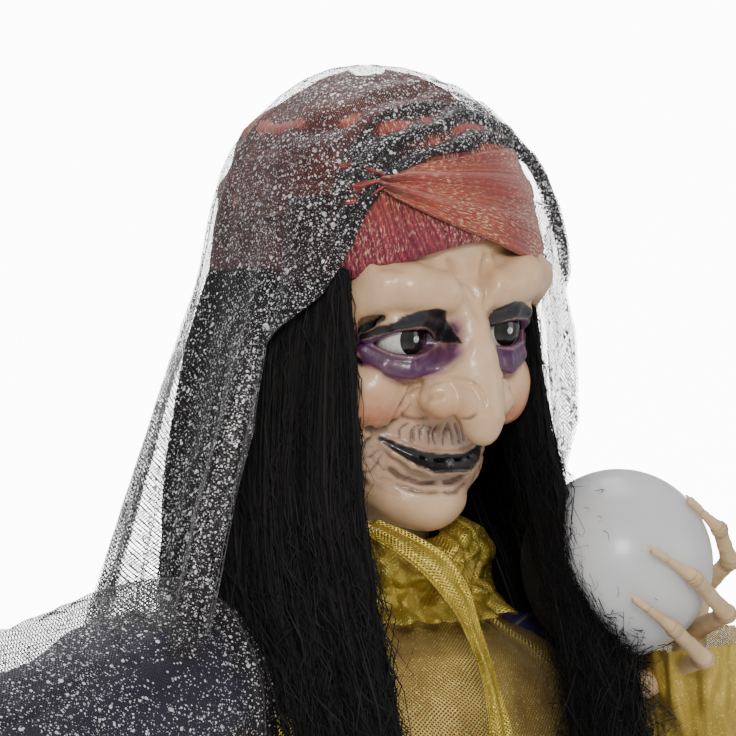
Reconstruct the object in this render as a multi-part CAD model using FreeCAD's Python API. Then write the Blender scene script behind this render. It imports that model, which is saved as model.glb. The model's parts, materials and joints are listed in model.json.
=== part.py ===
# Life-size standing fortune-teller witch, head turned by a geared motor in the neck,
# poseable tube arms, light-up ball in the left hand, four-legged tube stand under the dress.
# Millimetres. +Z up, the figure faces -Y, its own left is +X.
# Origin: centre of the stand hub's underside, on the floor and on the pole's axis.
import FreeCAD, Part
import os, math
from FreeCAD import Vector as V

# ---------------- driving dimensions ----------------
TOTAL_H = 1655.0            # floor to top of veil
HUB_R, HUB_H = 48.0, 34.0
LEG_R, LEG_WALL, LEG_Z = 8.0, 1.0, 14.0
LEG_IN, LEG_OUT = 24.6, 300.0
STAKE_R, STAKE_RING = 3.25, 320.0
POLE_R, POLE_WALL = 12.5, 1.2
POLE_SPLIT, POLE_TOP = 640.0, 1252.0
HOOP_Z, HOOP_R, HOOP_WIRE = 880.0, 132.0, 2.5
SHELL = 3.0                 # torso and head wall
SHOULDER_Z, SHOULDER_X = 1262.0, 158.0
ARM_R, ARM_WALL = 9.0, 1.0
LAP = 9.5                   # offset of each arm tube from its lap joint's plane
LAP_LEFT_ELBOW = 14.0       # the left elbow is folded sharply, so its tubes stand further apart
BOLT_R = 3.0
NECK_SHAFT_R = 6.0
GEAR_M, GEAR_Z, PINION_Z = 1.0, 48, 16
GEAR_Z0, GEAR_Z1 = 1305.0, 1311.0
BALL_R, BALL_WALL = 57.5, 2.5
BALL = V(130.0, -82.0, 1354.0)
EYE_X, EYE_Z, EYE_R = 34.5, 1495.0, 15.0
EYE_F = 77.0                # forward distance of each eye's centre from the neck axis
HEM_Z = 32.0

S_L = V(SHOULDER_X, 0, SHOULDER_Z)
S_R = V(-SHOULDER_X, 0, SHOULDER_Z)
E_L = V(262.0, -50.0, 1086.0)      # left elbow
W_L = V(188.0, -80.0, 1266.0)      # left wrist
E_R = V(-350.0, -24.0, 1206.0)     # right elbow
W_R = V(-436.0, -172.0, 1300.0)    # right wrist

OUT = "parts"
os.makedirs(OUT, exist_ok=True)
made = []


def save(name, shape):
    if isinstance(shape, (list, tuple)):
        shape = Part.makeCompound(list(shape))
    for s in shape.Solids:
        if not s.isValid() or s.Volume <= 0:
            print("BAD SOLID", name, s.isValid(), s.Volume)
    shape.exportStep(os.path.join(OUT, name + ".step"))
    b = shape.optimalBoundingBox(True, False)
    made.append(name)
    print("%-22s solids %d vol %.1f cm3  x %.0f..%.0f y %.0f..%.0f z %.0f..%.0f" % (
        name, len(shape.Solids), shape.Volume / 1000, b.XMin, b.XMax, b.YMin, b.YMax, b.ZMin, b.ZMax))


def unit(v):
    w = V(v)
    w.normalize()
    return w


def box(x0, x1, y0, y1, z0, z1):
    return Part.makeBox(x1 - x0, y1 - y0, z1 - z0, V(x0, y0, z0))


def cyl(p, q, r):
    d = q - p
    return Part.makeCylinder(r, d.Length, p, d)


def tube(p, q, ro, ri):
    d = unit(q - p)
    return cyl(p, q, ro).cut(cyl(p - d * 1.0, q + d * 1.0, ri))


def zcyl(x, y, z0, z1, r):
    return Part.makeCylinder(r, z1 - z0, V(x, y, z0), V(0, 0, 1))


def fuse(items):
    a = items[0]
    if len(items) > 1:
        a = a.multiFuse(items[1:])
    return a


def capsule(p, q, r0, r1):
    # round-ended taper between two points
    d = q - p
    parts = [Part.makeSphere(r0, p), Part.makeSphere(r1, q)]
    if abs(r0 - r1) < 1e-6:
        parts.append(cyl(p, q, r0))
    else:
        s = (r0 - r1) / d.Length
        c = math.sqrt(max(0.0, 1 - s * s))
        u = unit(d)
        a, b = p + u * (r0 * s), q + u * (r1 * s)
        parts.append(Part.makeCone(r0 * c, r1 * c, (b - a).Length, a, u))
    return fuse(parts)


def local(origin, zdir, xdir):
    # placement with its Z along zdir and its X near xdir
    z = unit(zdir)
    x = unit(xdir - z * xdir.dot(z))
    y = z.cross(x)
    m = FreeCAD.Matrix(x.x, y.x, z.x, origin.x, x.y, y.y, z.y, origin.y, x.z, y.z, z.z, origin.z, 0, 0, 0, 1)
    return FreeCAD.Placement(m)


def placed(shape, pl):
    s = shape.copy()
    s.Placement = pl.multiply(s.Placement)
    return s


def ring(points):
    c = Part.BSplineCurve()
    c.interpolate(Points=points, PeriodicFlag=True)
    return Part.Wire([c.toShape()])


def outline(w, front, back, z, n=28, e=2.45, c=None):
    # closed plan curve: half width w, forward reach front (towards -Y), backward reach back (towards -Y too, so usually negative)
    c = (front + back) / 2 if c is None else c
    pts = []
    for i in range(n):
        t = 2 * math.pi * i / n
        s, k = math.sin(t), math.cos(t)
        x = w * math.copysign(abs(s) ** (2 / e), s)
        f = c + (front - c if k > 0 else c - back) * math.copysign(abs(k) ** (2 / e), k)
        pts.append(V(x, -f, z))
    return ring(pts)


def loft(sections, grow=0.0, e=2.45, zpad=0.0):
    wires = []
    n = len(sections)
    for i, (z, w, f, b) in enumerate(sections):
        zz = z + (zpad if i == n - 1 else (-zpad if i == 0 else 0.0))
        wires.append(outline(max(w + grow, 2.0), f + grow, b - grow, zz, e=e))
    return Part.makeLoft(wires, True, False)


# ---------------- stand ----------------
hub = fuse([zcyl(0, 0, 0, HUB_H, HUB_R), zcyl(0, 0, HUB_H - 1, 62, 22)])
hub = hub.cut(zcyl(0, 0, 7, 70, POLE_R + 0.05))
legs, feet, hub_screws = [], [], []
for k in range(4):
    a = math.radians(45 + 90 * k)
    u = V(math.cos(a), math.sin(a), 0)
    n = V(-u.y, u.x, 0)
    c = V(0, 0, LEG_Z)
    hub = hub.cut(cyl(c + u * LEG_IN, c + u * (HUB_R + 5), LEG_R + 0.05))
    hub = hub.cut(zcyl(u.x * 36, u.y * 36, LEG_Z + LEG_R - 1, HUB_H + 5, 2.1))
    legs.append(tube(c + u * (LEG_IN + 0.2), c + u * LEG_OUT, LEG_R, LEG_R - LEG_WALL))
    sh = fuse([zcyl(u.x * 36, u.y * 36, LEG_Z + LEG_R + 0.6, HUB_H + 0.5, 2.0),
               zcyl(u.x * 36, u.y * 36, HUB_H, HUB_H + 2.6, 4.0)])
    hub_screws.append(sh)
    pad = placed(box(0, 58, -18, 18, 0, 25), local(u * 280, V(0, 0, 1), u))
    pad = pad.makeFillet(5.0, [e for e in pad.Edges if abs(e.BoundBox.ZLength - 25) < 0.1])
    pad = pad.cut(cyl(c + u * 270, c + u * 302, LEG_R + 0.05))
    pad = pad.cut(zcyl(u.x * STAKE_RING, u.y * STAKE_RING, -1, 40, STAKE_R))
    feet.append(pad)
save("stand_hub", hub)
save("stand_legs", legs)
save("stand_feet", feet)
save("hub_screws", hub_screws)

pr, pi_ = POLE_R, POLE_R - POLE_WALL
save("pole_lower", tube(V(0, 0, 7.2), V(0, 0, POLE_SPLIT), pr, pi_))
save("pole_upper", tube(V(0, 0, POLE_SPLIT + 0.2), V(0, 0, POLE_TOP), pr, pi_))
save("pole_coupler", tube(V(0, 0, POLE_SPLIT - 50), V(0, 0, POLE_SPLIT + 50), pi_ - 0.05, pi_ - 1.6))

# skirt hoop: wire ring and four spokes welded to a collar on the pole
hoop = Part.makeTorus(HOOP_R, HOOP_WIRE, V(0, 0, HOOP_Z), V(0, 0, 1))
collar = zcyl(0, 0, HOOP_Z - 16, HOOP_Z + 16, 20).cut(zcyl(0, 0, HOOP_Z - 20, HOOP_Z + 20, POLE_R + 0.05))
spokes = [cyl(V(math.cos(a) * 18, math.sin(a) * 18, HOOP_Z), V(math.cos(a) * HOOP_R, math.sin(a) * HOOP_R, HOOP_Z), HOOP_WIRE)
          for a in (0, math.pi / 2, math.pi, 3 * math.pi / 2)]
save("skirt_hoop", fuse([hoop, collar] + spokes))

# ---------------- torso ----------------
TORSO = [(932, 124, 92, -88), (965, 118, 88, -84), (1000, 116, 87, -82), (1060, 124, 94, -88), (1130, 136, 104, -96),
         (1190, 144, 112, -101), (1240, 144, 104, -98), (1278, 128, 88, -86), (1306, 94, 68, -68), (1322, 62, 52, -52)]
torso_out = loft(TORSO)
inner = [(TORSO[0][0] + SHELL,) + TORSO[0][1:]] + TORSO[1:-1] + [(TORSO[-1][0] - SHELL,) + TORSO[-1][1:]]
torso_in = loft(inner, -SHELL)
pad = box(-46, 46, 60, 112, 1064, 1196).cut(torso_in)
shell = torso_out.fuse(pad).cut(torso_in)
shell = shell.cut(zcyl(0, 0, 900, 960, POLE_R + 0.4))          # pole passes up through the floor of the shell
shell = shell.cut(zcyl(0, 0, 1300, 1340, 36.3)).cut(zcyl(0, 32, 1286, 1340, 17)).cut(box(-17, 17, 0, 32, 1286, 1340))   # gearbox passes the top
shell = shell.cut(box(-200, 200, -10.4, 10.4, SHOULDER_Z - 10.4, SHOULDER_Z + 10.4))   # shoulder bar
bosses_b, bosses_f, torso_screws = [], [], []
for x, z in ((88, 1010), (-88, 1010), (100, 1190), (-100, 1190)):
    bb = Part.makeCylinder(7, 130, V(x, 0.05, z), V(0, 1, 0)).common(torso_out)
    bb = bb.cut(Part.makeCylinder(4.2, 130, V(x, 14, z), V(0, 1, 0))).cut(Part.makeCylinder(1.8, 20, V(x, -1, z), V(0, 1, 0)))
    bosses_b.append(bb)
    bf = Part.makeCylinder(6, 130, V(x, -0.05, z), V(0, -1, 0)).common(torso_out)
    bf = bf.cut(Part.makeCylinder(1.8, 24, V(x, 1, z), V(0, -1, 0)))
    bosses_f.append(bf)
    torso_screws.append(fuse([Part.makeCylinder(1.7, 34.5, V(x, -20, z), V(0, 1, 0)),
                              Part.makeCylinder(3.6, 2.6, V(x, 14, z), V(0, 1, 0))]))
back_cut = Part.makeCompound([Part.makeCylinder(4.2, 130, V(x, 14, z), V(0, 1, 0)) for x, z in ((88, 1010), (-88, 1010), (100, 1190), (-100, 1190))])
front_half = shell.common(box(-300, 300, -300, -0.05, 800, 1400))
back_half = shell.common(box(-300, 300, 0.05, 300, 800, 1400)).cut(back_cut)
save("torso_front_shell", fuse([front_half] + bosses_f))
save("torso_back_shell", fuse([back_half] + bosses_b))
save("torso_screws", torso_screws)

# shoulder bar on a tee at the pole's top, with flat lugs outside the shell
bar = fuse([zcyl(0, 0, 1196, 1284, 18.5), box(-26, 26, -16, 16, SHOULDER_Z - 16, SHOULDER_Z + 16),
            box(-143, 143, -10, 10, SHOULDER_Z - 10, SHOULDER_Z + 10)])
bar = bar.cut(zcyl(0, 0, 1190, POLE_TOP, POLE_R + 0.05))
for x0, x1 in ((-160, -30), (30, 160)):
    bar = bar.cut(box(x0, x1, -8.5, 8.5, SHOULDER_Z - 8.5, SHOULDER_Z + 8.5))
save("shoulder_bar", bar)
lugs, shoulder_bolts = [], []
for s in (1, -1):
    x0, x1 = (130, SHOULDER_X) if s > 0 else (-SHOULDER_X, -130)
    plug = box(min(s * 112, s * 145), max(s * 112, s * 145), -8.4, 8.4, SHOULDER_Z - 8.4, SHOULDER_Z + 8.4)
    plug = plug.cut(Part.makeCylinder(13.4, 20, V(s * SHOULDER_X, -20, SHOULDER_Z), V(0, 1, 0)))
    plate = box(min(s * 143.4, s * SHOULDER_X), max(s * 143.4, s * SHOULDER_X), 0.25, 8.4, SHOULDER_Z - 12, SHOULDER_Z + 12)
    disc = Part.makeCylinder(13, 4.75, V(s * SHOULDER_X, 0.25, SHOULDER_Z), V(0, 1, 0))
    lug = fuse([plug, plate, disc]).cut(Part.makeCylinder(BOLT_R + 0.05, 30, V(s * SHOULDER_X, -10, SHOULDER_Z), V(0, 1, 0)))
    lug = lug.cut(Part.makeCylinder(6.5, 10, V(s * SHOULDER_X, 5.0, SHOULDER_Z), V(0, 1, 0)))
    lugs.append(lug)
    shoulder_bolts.append(fuse([Part.makeCylinder(BOLT_R, 13.2, V(s * SHOULDER_X, -4.4, SHOULDER_Z), V(0, 1, 0)),
                                Part.makeCylinder(5.5, 3.5, V(s * SHOULDER_X, -7.9, SHOULDER_Z), V(0, 1, 0)),
                                Part.makeCylinder(5.5, 3.6, V(s * SHOULDER_X, 5.1, SHOULDER_Z), V(0, 1, 0))]))
save("shoulder_lugs", lugs)
save("shoulder_bolts", shoulder_bolts)


# ---------------- arms: tubes with flattened ends bolted side by side ----------------
def arm_plate(joint, axis, side, toward, lap=LAP):
    # flat end of a tube at a lap joint; side is -1 or +1 along axis
    ax = unit(axis)
    pl = local(joint, toward - ax * toward.dot(ax), ax)
    a, b = (0.25, 4.0) if side > 0 else (-4.0, -0.25)
    disc = Part.makeCylinder(12, b - a, V(a, 0, 0), V(1, 0, 0))
    strip = box(a, b, -11, 11, 0, 30)
    neck = box(min(a, side * lap), max(b, side * lap), -7.5, 7.5, 20, 30)
    return placed(fuse([disc, strip, neck]), pl)


def hole(joint, axis):
    u = unit(axis)
    return cyl(joint - u * 30, joint + u * 30, BOLT_R + 0.08)


def arm(tag, s_pt, e_pt, w_pt):
    yaxis = V(0, 1, 0)
    n = unit((e_pt - s_pt).cross(w_pt - e_pt))
    lap = LAP_LEFT_ELBOW if tag == "left" else LAP
    up_a, up_b = s_pt - yaxis * LAP, e_pt - n * lap
    u1 = unit(up_b - up_a)
    upper = tube(up_a + u1 * 20, up_b - u1 * 20, ARM_R, ARM_R - ARM_WALL)
    p1 = arm_plate(s_pt, yaxis, -1, u1)
    p2 = arm_plate(e_pt, n, -1, u1 * -1, lap)
    upper = fuse([upper, p1, p2]).cut(hole(s_pt, yaxis)).cut(hole(e_pt, n))
    fo_a = e_pt + n * lap
    u2 = unit(w_pt - fo_a)
    fore = tube(fo_a + u2 * 20, w_pt, ARM_R, ARM_R - ARM_WALL)
    p3 = arm_plate(e_pt, n, 1, u2, lap)
    fore = fuse([fore, p3]).cut(hole(e_pt, n))
    bolt = fuse([cyl(e_pt - n * 4.4, e_pt + n * 4.4, BOLT_R), cyl(e_pt + n * 4.2, e_pt + n * 7.8, 5.5), cyl(e_pt - n * 7.8, e_pt - n * 4.2, 5.5)])
    save("upper_arm_" + tag, upper)
    save("forearm_" + tag, fore)
    save("elbow_bolt_" + tag, bolt)
    print("JOINT elbow_" + tag, "pos", [round(c, 3) for c in e_pt], "axis", [round(c, 6) for c in n])
    print("JOINT wrist_" + tag, "pos", [round(c, 3) for c in w_pt], "axis", [round(c, 6) for c in u2])
    return n, u1, u2, up_a, fo_a


def sleeve(p, d, t0, t1, r0, r1, wall=2.0, bulge=0.0):
    a, b = p + d * t0, p + d * t1
    pl = local(a, d, V(1, 0, 0))
    h = t1 - t0
    outer = Part.makeCone(r0, r1, h)
    inner_ = Part.makeCone(r0 - wall, r1 - wall, h + 0.02, V(0, 0, -0.01))
    return placed(outer.cut(inner_), pl)


def finger(points, radii):
    # one finger or finger bone: round sections swept through its joints
    c = Part.BSplineCurve()
    c.interpolate(Points=points)
    n = 4 * (len(points) - 1)
    wires = []
    for i in range(n + 1):
        t = i / n
        p = c.value(c.FirstParameter + t * (c.LastParameter - c.FirstParameter))
        d = unit(c.tangent(c.FirstParameter + t * (c.LastParameter - c.FirstParameter))[0])
        k = t * (len(radii) - 1)
        j = min(int(k), len(radii) - 2)
        r = radii[j] + (radii[j + 1] - radii[j]) * (k - j)
        wires.append(Part.Wire([Part.Circle(p, d, r).toShape()]))
    return Part.makeLoft(wires, True, False)


nL, uL1, uL2, aL, fL = arm("left", S_L, E_L, W_L)
nR, uR1, uR2, aR, fR = arm("right", S_R, E_R, W_R)
save("sleeve_upper_left", sleeve(aL, uL1, 37, 84, 24, 22))
save("sleeve_lower_left", sleeve(fL, uL2, 84, 172, 14.5, 27))
save("sleeve_upper_right", sleeve(aR, uR1, 34, 170, 27, 36))
save("sleeve_lower_right", sleeve(fR, uR2, 50, 168, 24, 42))

# left hand, built round the ball: offsets are right, up and away across the ball as held
RT, DP = V(0.809, -0.588, 0), V(0.588, 0.809, 0)


def P(r, u, d):
    return BALL + RT * r + DP * d + V(0, 0, u)


FR = [11.0, 7.6, 6.2, 5.2, 2.6]
LEFT_FINGERS = [
    [P(48, -8, 56), P(50, 12, 46), P(44, 27, 42), P(36, 38, 36)],
    [P(52, -22, 45), P(69, 0, 20), P(61, 21, -4), P(42, 39, -20)],
    [P(47, -44, 28), P(65, -30, -10), P(43, -5, -46), P(18, 12, -60)],
    [P(38, -64, 14), P(51, -57, -16), P(31, -36, -43), P(7, -17, -61)],
]
LEFT_THUMB = [P(18, -76, 22), P(-12, -69, -5), P(-32, -52, -18)]
wl = W_L + uL2 * 14
hand = fuse([cyl(W_L - uL2 * 16, W_L + uL2 * 10, 13.0), Part.makeSphere(17.0, wl + uL2 * 4)])
for f in LEFT_FINGERS:
    hand = hand.fuse(finger([wl + uL2 * 2] + f, FR))
hand = hand.fuse(finger([wl] + LEFT_THUMB, [11.0, 8.0, 6.2, 2.8]))
hand = hand.cut(cyl(W_L - uL2 * 30, W_L + uL2 * 0.3, ARM_R + 0.06)).cut(Part.makeSphere(BALL_R + 0.05, BALL))
save("hand_left", hand)

# the ball: a blow-moulded translucent sphere, with its light board against the palm side
ball = Part.makeSphere(BALL_R, BALL).cut(Part.makeSphere(BALL_R - BALL_WALL, BALL))
palm_dir = unit(P(34, -56, 30) - BALL)
ball = ball.cut(cyl(BALL + palm_dir * 40, BALL + palm_dir * 70, 12.05))
save("crystal_ball", ball)
board = fuse([cyl(BALL + palm_dir * 44, BALL + palm_dir * 57.0, 12.0), cyl(BALL + palm_dir * 38, BALL + palm_dir * 44.5, 3.0)])
save("ball_light_board", board.cut(hand))

# right hand, held out with curled fingers
a = uR2
pn = unit(V(-0.15, -0.2, -1.0) - a * V(-0.15, -0.2, -1.0).dot(a))   # palm side, downwards
lt = a.cross(pn)
wr = W_R + a * 14
hand = fuse([cyl(W_R - a * 16, W_R + a * 10, 13.0), Part.makeSphere(17.0, wr + a * 4)])
for k, (o, l, sc) in enumerate(((-24, 70, 0.92), (-8, 76, 1.05), (9, 75, 1.0), (25, 68, 0.85))):
    m = W_R + a * l + lt * o
    f = [m, m + (a * 36 + pn * -7 + lt * (o * 0.18)) * sc, m + (a * 60 + pn * 8 + lt * (o * 0.25)) * sc, m + (a * 74 + pn * 30 + lt * (o * 0.28)) * sc]
    hand = hand.fuse(finger([wr + a * 2] + f, FR))
t = [W_R + a * 34 + lt * -30 + pn * 8, W_R + a * 62 + lt * -46 + pn * 20, W_R + a * 84 + lt * -48 + pn * 36]
hand = hand.fuse(finger([wr] + t, [11.0, 8.0, 6.2, 2.8]))
hand = hand.cut(cyl(W_R - a * 30, W_R + a * 0.3, ARM_R + 0.06))
save("hand_right", hand)


# ---------------- neck drive ----------------
def gear(z, m, pa, z0, z1, bore, phase, backlash=0.12, cx=0.0, cy=0.0, hubr=0.0, hubz=0.0):
    r = m * z / 2
    rb, ra, rf = r * math.cos(pa), r + m * 0.95, r - m * 1.25
    inv = lambda t: math.tan(t) - t
    half = math.pi / (2 * z) + inv(pa) - backlash / (2 * r)
    pts = []
    for k in range(z):
        c = phase + 2 * math.pi * k / z
        prof = []
        start = max(rb, rf)
        if rf < rb:
            prof.append((rf, half))
        for i in range(6):
            rho = start + (ra - start) * i / 5
            al = math.acos(min(1.0, rb / rho))
            prof.append((rho, half - inv(al)))
        for rho, h in prof:
            pts.append((rho, c - h))
        for rho, h in reversed(prof):
            pts.append((rho, c + h))
    vs = [V(cx + rho * math.cos(t), cy + rho * math.sin(t), z0) for rho, t in pts]
    f = Part.Face(Part.makePolygon(vs + [vs[0]]))
    g = f.extrude(V(0, 0, z1 - z0))
    if hubr:
        g = g.fuse(zcyl(cx, cy, z1 - 0.5, z1 + hubz, hubr))
    return g.cut(zcyl(cx, cy, z0 - 5, z1 + hubz + 5, bore))


PA = math.radians(25)
CD = GEAR_M * (GEAR_Z + PINION_Z) / 2
neck_gear = gear(GEAR_Z, GEAR_M, PA, GEAR_Z0, GEAR_Z1, NECK_SHAFT_R + 0.02, math.pi / 2, hubr=11, hubz=5)
pinion = gear(PINION_Z, GEAR_M, PA, GEAR_Z0, GEAR_Z1, 2.2, -math.pi / 2 + math.pi / PINION_Z, cy=CD)
save("neck_gear", neck_gear)
save("drive_pinion", fuse([pinion, zcyl(0, CD, GEAR_Z0 - 8, GEAR_Z1 + 1, 2.5)]))

# gearbox housing: a tub closed by a lid, both bored for the neck bushes
def tray(grow, z0, z1):
    return fuse([zcyl(0, 0, z0, z1, 30 + grow), zcyl(0, CD, z0, z1, 13 + grow), box(-13 - grow, 13 + grow, 0, CD, z0, z1)])


tub = tray(3, 1291, 1322).cut(tray(0, 1294, 1323)).cut(zcyl(0, 0, 1280, 1330, 9.05))
tub = tub.cut(zcyl(0, CD, 1280, 1300, 5.2)).cut(zcyl(0, 0, 1280, 1294.5, 9.05))
save("gearbox_tub", tub)
lid = tray(3, 1322.05, 1325.5).cut(zcyl(0, 0, 1320, 1330, 9.05))
save("gearbox_lid", lid)
bush = lambda z0, z1, zf0, zf1: fuse([zcyl(0, 0, z0, z1, 9.0), zcyl(0, 0, zf0, zf1, 11.5)]).cut(zcyl(0, 0, z0 - 9, z1 + 9, NECK_SHAFT_R + 0.05))
save("neck_bushes", [bush(1291, 1297.5, 1294.0, 1297.5), bush(1318.5, 1325.5, 1318.5, 1322.05)])
motor = fuse([zcyl(0, CD, 1262, 1290.9, 12.5), zcyl(0, CD, 1290.0, 1294.0, 5.1)]).cut(zcyl(0, CD, 1280, 1300, 2.6))
save("head_motor", motor)

# ---------------- head ----------------
HEAD = [(1371, 20, 80, 42), (1376, 36, 88, 22), (1386, 48, 92, -6), (1400, 57, 90, -44), (1416, 63, 88, -72), (1440, 69, 90, -90),
        (1470, 75, 93, -98), (1496, 77, 95, -101), (1518, 78, 102, -101), (1545, 77, 96, -99), (1580, 71, 84, -92),
        (1610, 57, 64, -76), (1630, 38, 40, -54), (1640, 18, 18, -26)]
head_out = loft(HEAD)
hin = [(z + (4 if i == 0 else (-4 if i == len(HEAD) - 1 else 0)), w, f, b) for i, (z, w, f, b) in enumerate(HEAD)]
head_in = loft(hin, -SHELL)
nose = [capsule(V(0, -96, 1502), V(0, -108, 1474), 8, 9.5), capsule(V(0, -108, 1474), V(0, -120, 1446), 9.5, 12),
        capsule(V(0, -120, 1446), V(0, -127, 1431), 12, 10), capsule(V(0, -104, 1448), V(17, -101, 1448), 10, 9.5),
        capsule(V(0, -104, 1448), V(-17, -101, 1448), 10, 9.5), Part.makeSphere(16, V(0, -84, 1389))]
brow = [capsule(V(5, -93, 1508), V(52, -74, 1515), 10, 8), capsule(V(-5, -93, 1508), V(-52, -74, 1515), 10, 8)]
cheeks = [Part.makeSphere(19, V(46, -68, 1448)), Part.makeSphere(19, V(-46, -68, 1448))]
skin = fuse([head_out] + nose + brow + cheeks)
skin = skin.cut(head_in).cut(zcyl(0, 0, 1340, 1398, 38.4))
mask = skin.common(box(-200, 200, -300, -0.05, 1300, 1700))
for s in (1, -1):
    mask = mask.cut(cyl(V(s * EYE_X, -50, EYE_Z), V(s * EYE_X, -140, EYE_Z), EYE_R + 0.3))
mask = mask.cut(box(-33, 33, -120, -60, 1411, 1421))
back = skin.common(box(-200, 200, 0.05, 300, 1300, 1700))
head_screws = []
for s in (1, -1):
    for y in (-14, 14):
        head_screws.append(fuse([cyl(V(s * 50, y, 1440), V(s * 76, y, 1440), 1.6), cyl(V(s * 72.5, y, 1440), V(s * 76, y, 1440), 3.4)]))
        h = cyl(V(s * 50, y, 1440), V(s * 90, y, 1440), 1.7)
        cb = cyl(V(s * 72.3, y, 1440), V(s * 90, y, 1440), 3.5)
        mask, back = mask.cut(h).cut(cb), back.cut(h).cut(cb)
save("face_mask", mask)
save("head_back_shell", back)
save("head_screws", head_screws)
eyes = []
for s in (1, -1):
    c = V(s * EYE_X, -EYE_F, EYE_Z)
    e = Part.makeSphere(EYE_R, c).common(box(s * EYE_X - 30, s * EYE_X + 30, -EYE_F - 30, -EYE_F + 6, EYE_Z - 30, EYE_Z + 30))
    e = e.cut(cyl(V(s * EYE_X, -EYE_F - 6, EYE_Z), V(s * EYE_X, -EYE_F + 10, EYE_Z), 3.0))
    eyes.append(e)
save("eyes", eyes)
save("eye_lights", [fuse([cyl(V(s * EYE_X, -EYE_F - 3, EYE_Z), V(s * EYE_X, -EYE_F + 8, EYE_Z), 2.5),
                          cyl(V(s * EYE_X, -EYE_F + 6.2, EYE_Z), V(s * EYE_X, -EYE_F + 8, EYE_Z), 6.0)]) for s in (1, -1)])
liner = box(-37, 37, -73, -70, 1405, 1427).cut(cyl(V(0, -60, 1416), V(0, -90, 1416), 4.55))
save("mouth_liner", liner)
save("sound_sensor", fuse([cyl(V(0, -66, 1416), V(0, -78, 1416), 4.5), cyl(V(0, -66, 1416), V(0, -69.9, 1416), 6.5)]))
shroud = tube(V(0, 0, 1330), V(0, 0, 1397), 38.0, 35.6)
save("neck_shroud", shroud)
cross = fuse([box(-48, 48, -20, 20, 1436, 1444), zcyl(0, 0, 1428, 1440, 14)])
cross = cross.cut(zcyl(0, 0, 1420, 1450, NECK_SHAFT_R + 0.02))
for s in (1, -1):
    for y in (-14, 14):
        cross = cross.cut(cyl(V(s * 30, y, 1440), V(s * 60, y, 1440), 1.7))
cross_ears = fuse([box(48, 64, -20, 20, 1434, 1446), box(-64, -48, -20, 20, 1434, 1446)]).common(loft(HEAD, -SHELL - 0.15))
for s in (1, -1):
    for y in (-14, 14):
        cross_ears = cross_ears.cut(cyl(V(s * 30, y, 1440), V(s * 80, y, 1440), 1.7))
cross = fuse([cross] + cross_ears.Solids)
save("head_crosspiece", cross)
save("neck_shaft", zcyl(0, 0, 1289, 1446, NECK_SHAFT_R))

# headscarf: a wound cloth shell over the skull, longer at the back
scarf = loft([(1500, 79, 98, -102)] + HEAD[8:-1] + [(1644.5, 24, 26, -34)], 6.5)
scarf = scarf.cut(loft([(1490, 79, 98, -102)] + HEAD[8:-1] + [(1641.2, 22, 24, -32)], 2.4))
scarf = scarf.cut(box(-200, 200, -200, -22, 1480, 1540)).cut(fuse([skin]).common(box(-200, 200, -200, -20, 1500, 1560)))
save("headscarf", scarf.Solids[0] if len(scarf.Solids) > 1 and scarf.Solids[0].Volume > 1000 else scarf)

# wig, upper part: sides and back of the head, turns with it
def ellipse_block(rx, ryf, ryb, z0, z1, n=2.2):
    w = [outline(rx, ryf, -ryb, z, e=n) for z in (z0, z1)]
    return Part.makeLoft(w, True, True)


wig = ellipse_block(90, 80, 116, 1350, 1490).cut(ellipse_block(80, 70, 102, 1340, 1495))
wig = wig.cut(box(-200, 200, -200, -44, 1300, 1600)).cut(loft(HEAD, 0.8)).cut(fuse([skin]))
for s in (1, -1):
    for y in (-14, 14):
        wig = wig.cut(cyl(V(s * 60, y, 1440), V(s * 80, y, 1440), 4.6))
save("wig_upper", wig)
locks = []
for s in (1, -1):
    secs = []
    for z, x, w, y, t in ((1338, 52, 16, -84, 6), (1300, 54, 18, -100, 7), (1250, 54, 20, -124, 8), (1190, 54, 22, -131, 8), (1100, 54, 20, -128, 7), (1020, 54, 12, -122, 5)):
        pts = [V(s * x + w * math.cos(k * math.pi / 8), y + t * math.sin(k * math.pi / 8), z) for k in range(16)]
        secs.append(ring(pts))
    locks.append(Part.makeLoft(secs, True, False))
save("hair_locks", locks)

# veil: the hood part turns with the head, the drape hangs over the back
HOOD = [(1416, 132, 120, -136), (1440, 128, 118, -133), (1515, 112, 114, -125), (1570, 98, 108, -118), (1605, 88, 96, -106), (1630, 68, 74, -84), (1649, 38, 42, -50), (1656, 14, 16, -20)]
hood = loft(HOOD).cut(loft([(z - (5 if i == 0 else (2.2 if i > 5 else 0)), w, f, b) for i, (z, w, f, b) in enumerate(HOOD)], -2.4))
hood = hood.cut(box(-200, 200, -200, -30, 1380, 1598)).cut(box(-200, 200, -200, -92, 1380, 1700))
hood = hood.cut(loft([(1490, 79, 98, -102)] + HEAD[8:-1] + [(1645.2, 24, 26, -34)], 7.0))
save("veil_hood", hood)
DRAPE = [(850, 262, 150, -222), (1000, 244, 140, -205), (1150, 226, 130, -188), (1260, 214, 120, -170), (1340, 188, 120, -156), (1411, 146, 110, -148)]
drape = loft(DRAPE).cut(loft([(z + (6 if i == 5 else (-6 if i == 0 else 0)), w, f, b) for i, (z, w, f, b) in enumerate(DRAPE)], -2.4))
drape = drape.cut(box(-400, 400, -400, 60, 800, 1500))
save("veil_drape", drape)

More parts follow.
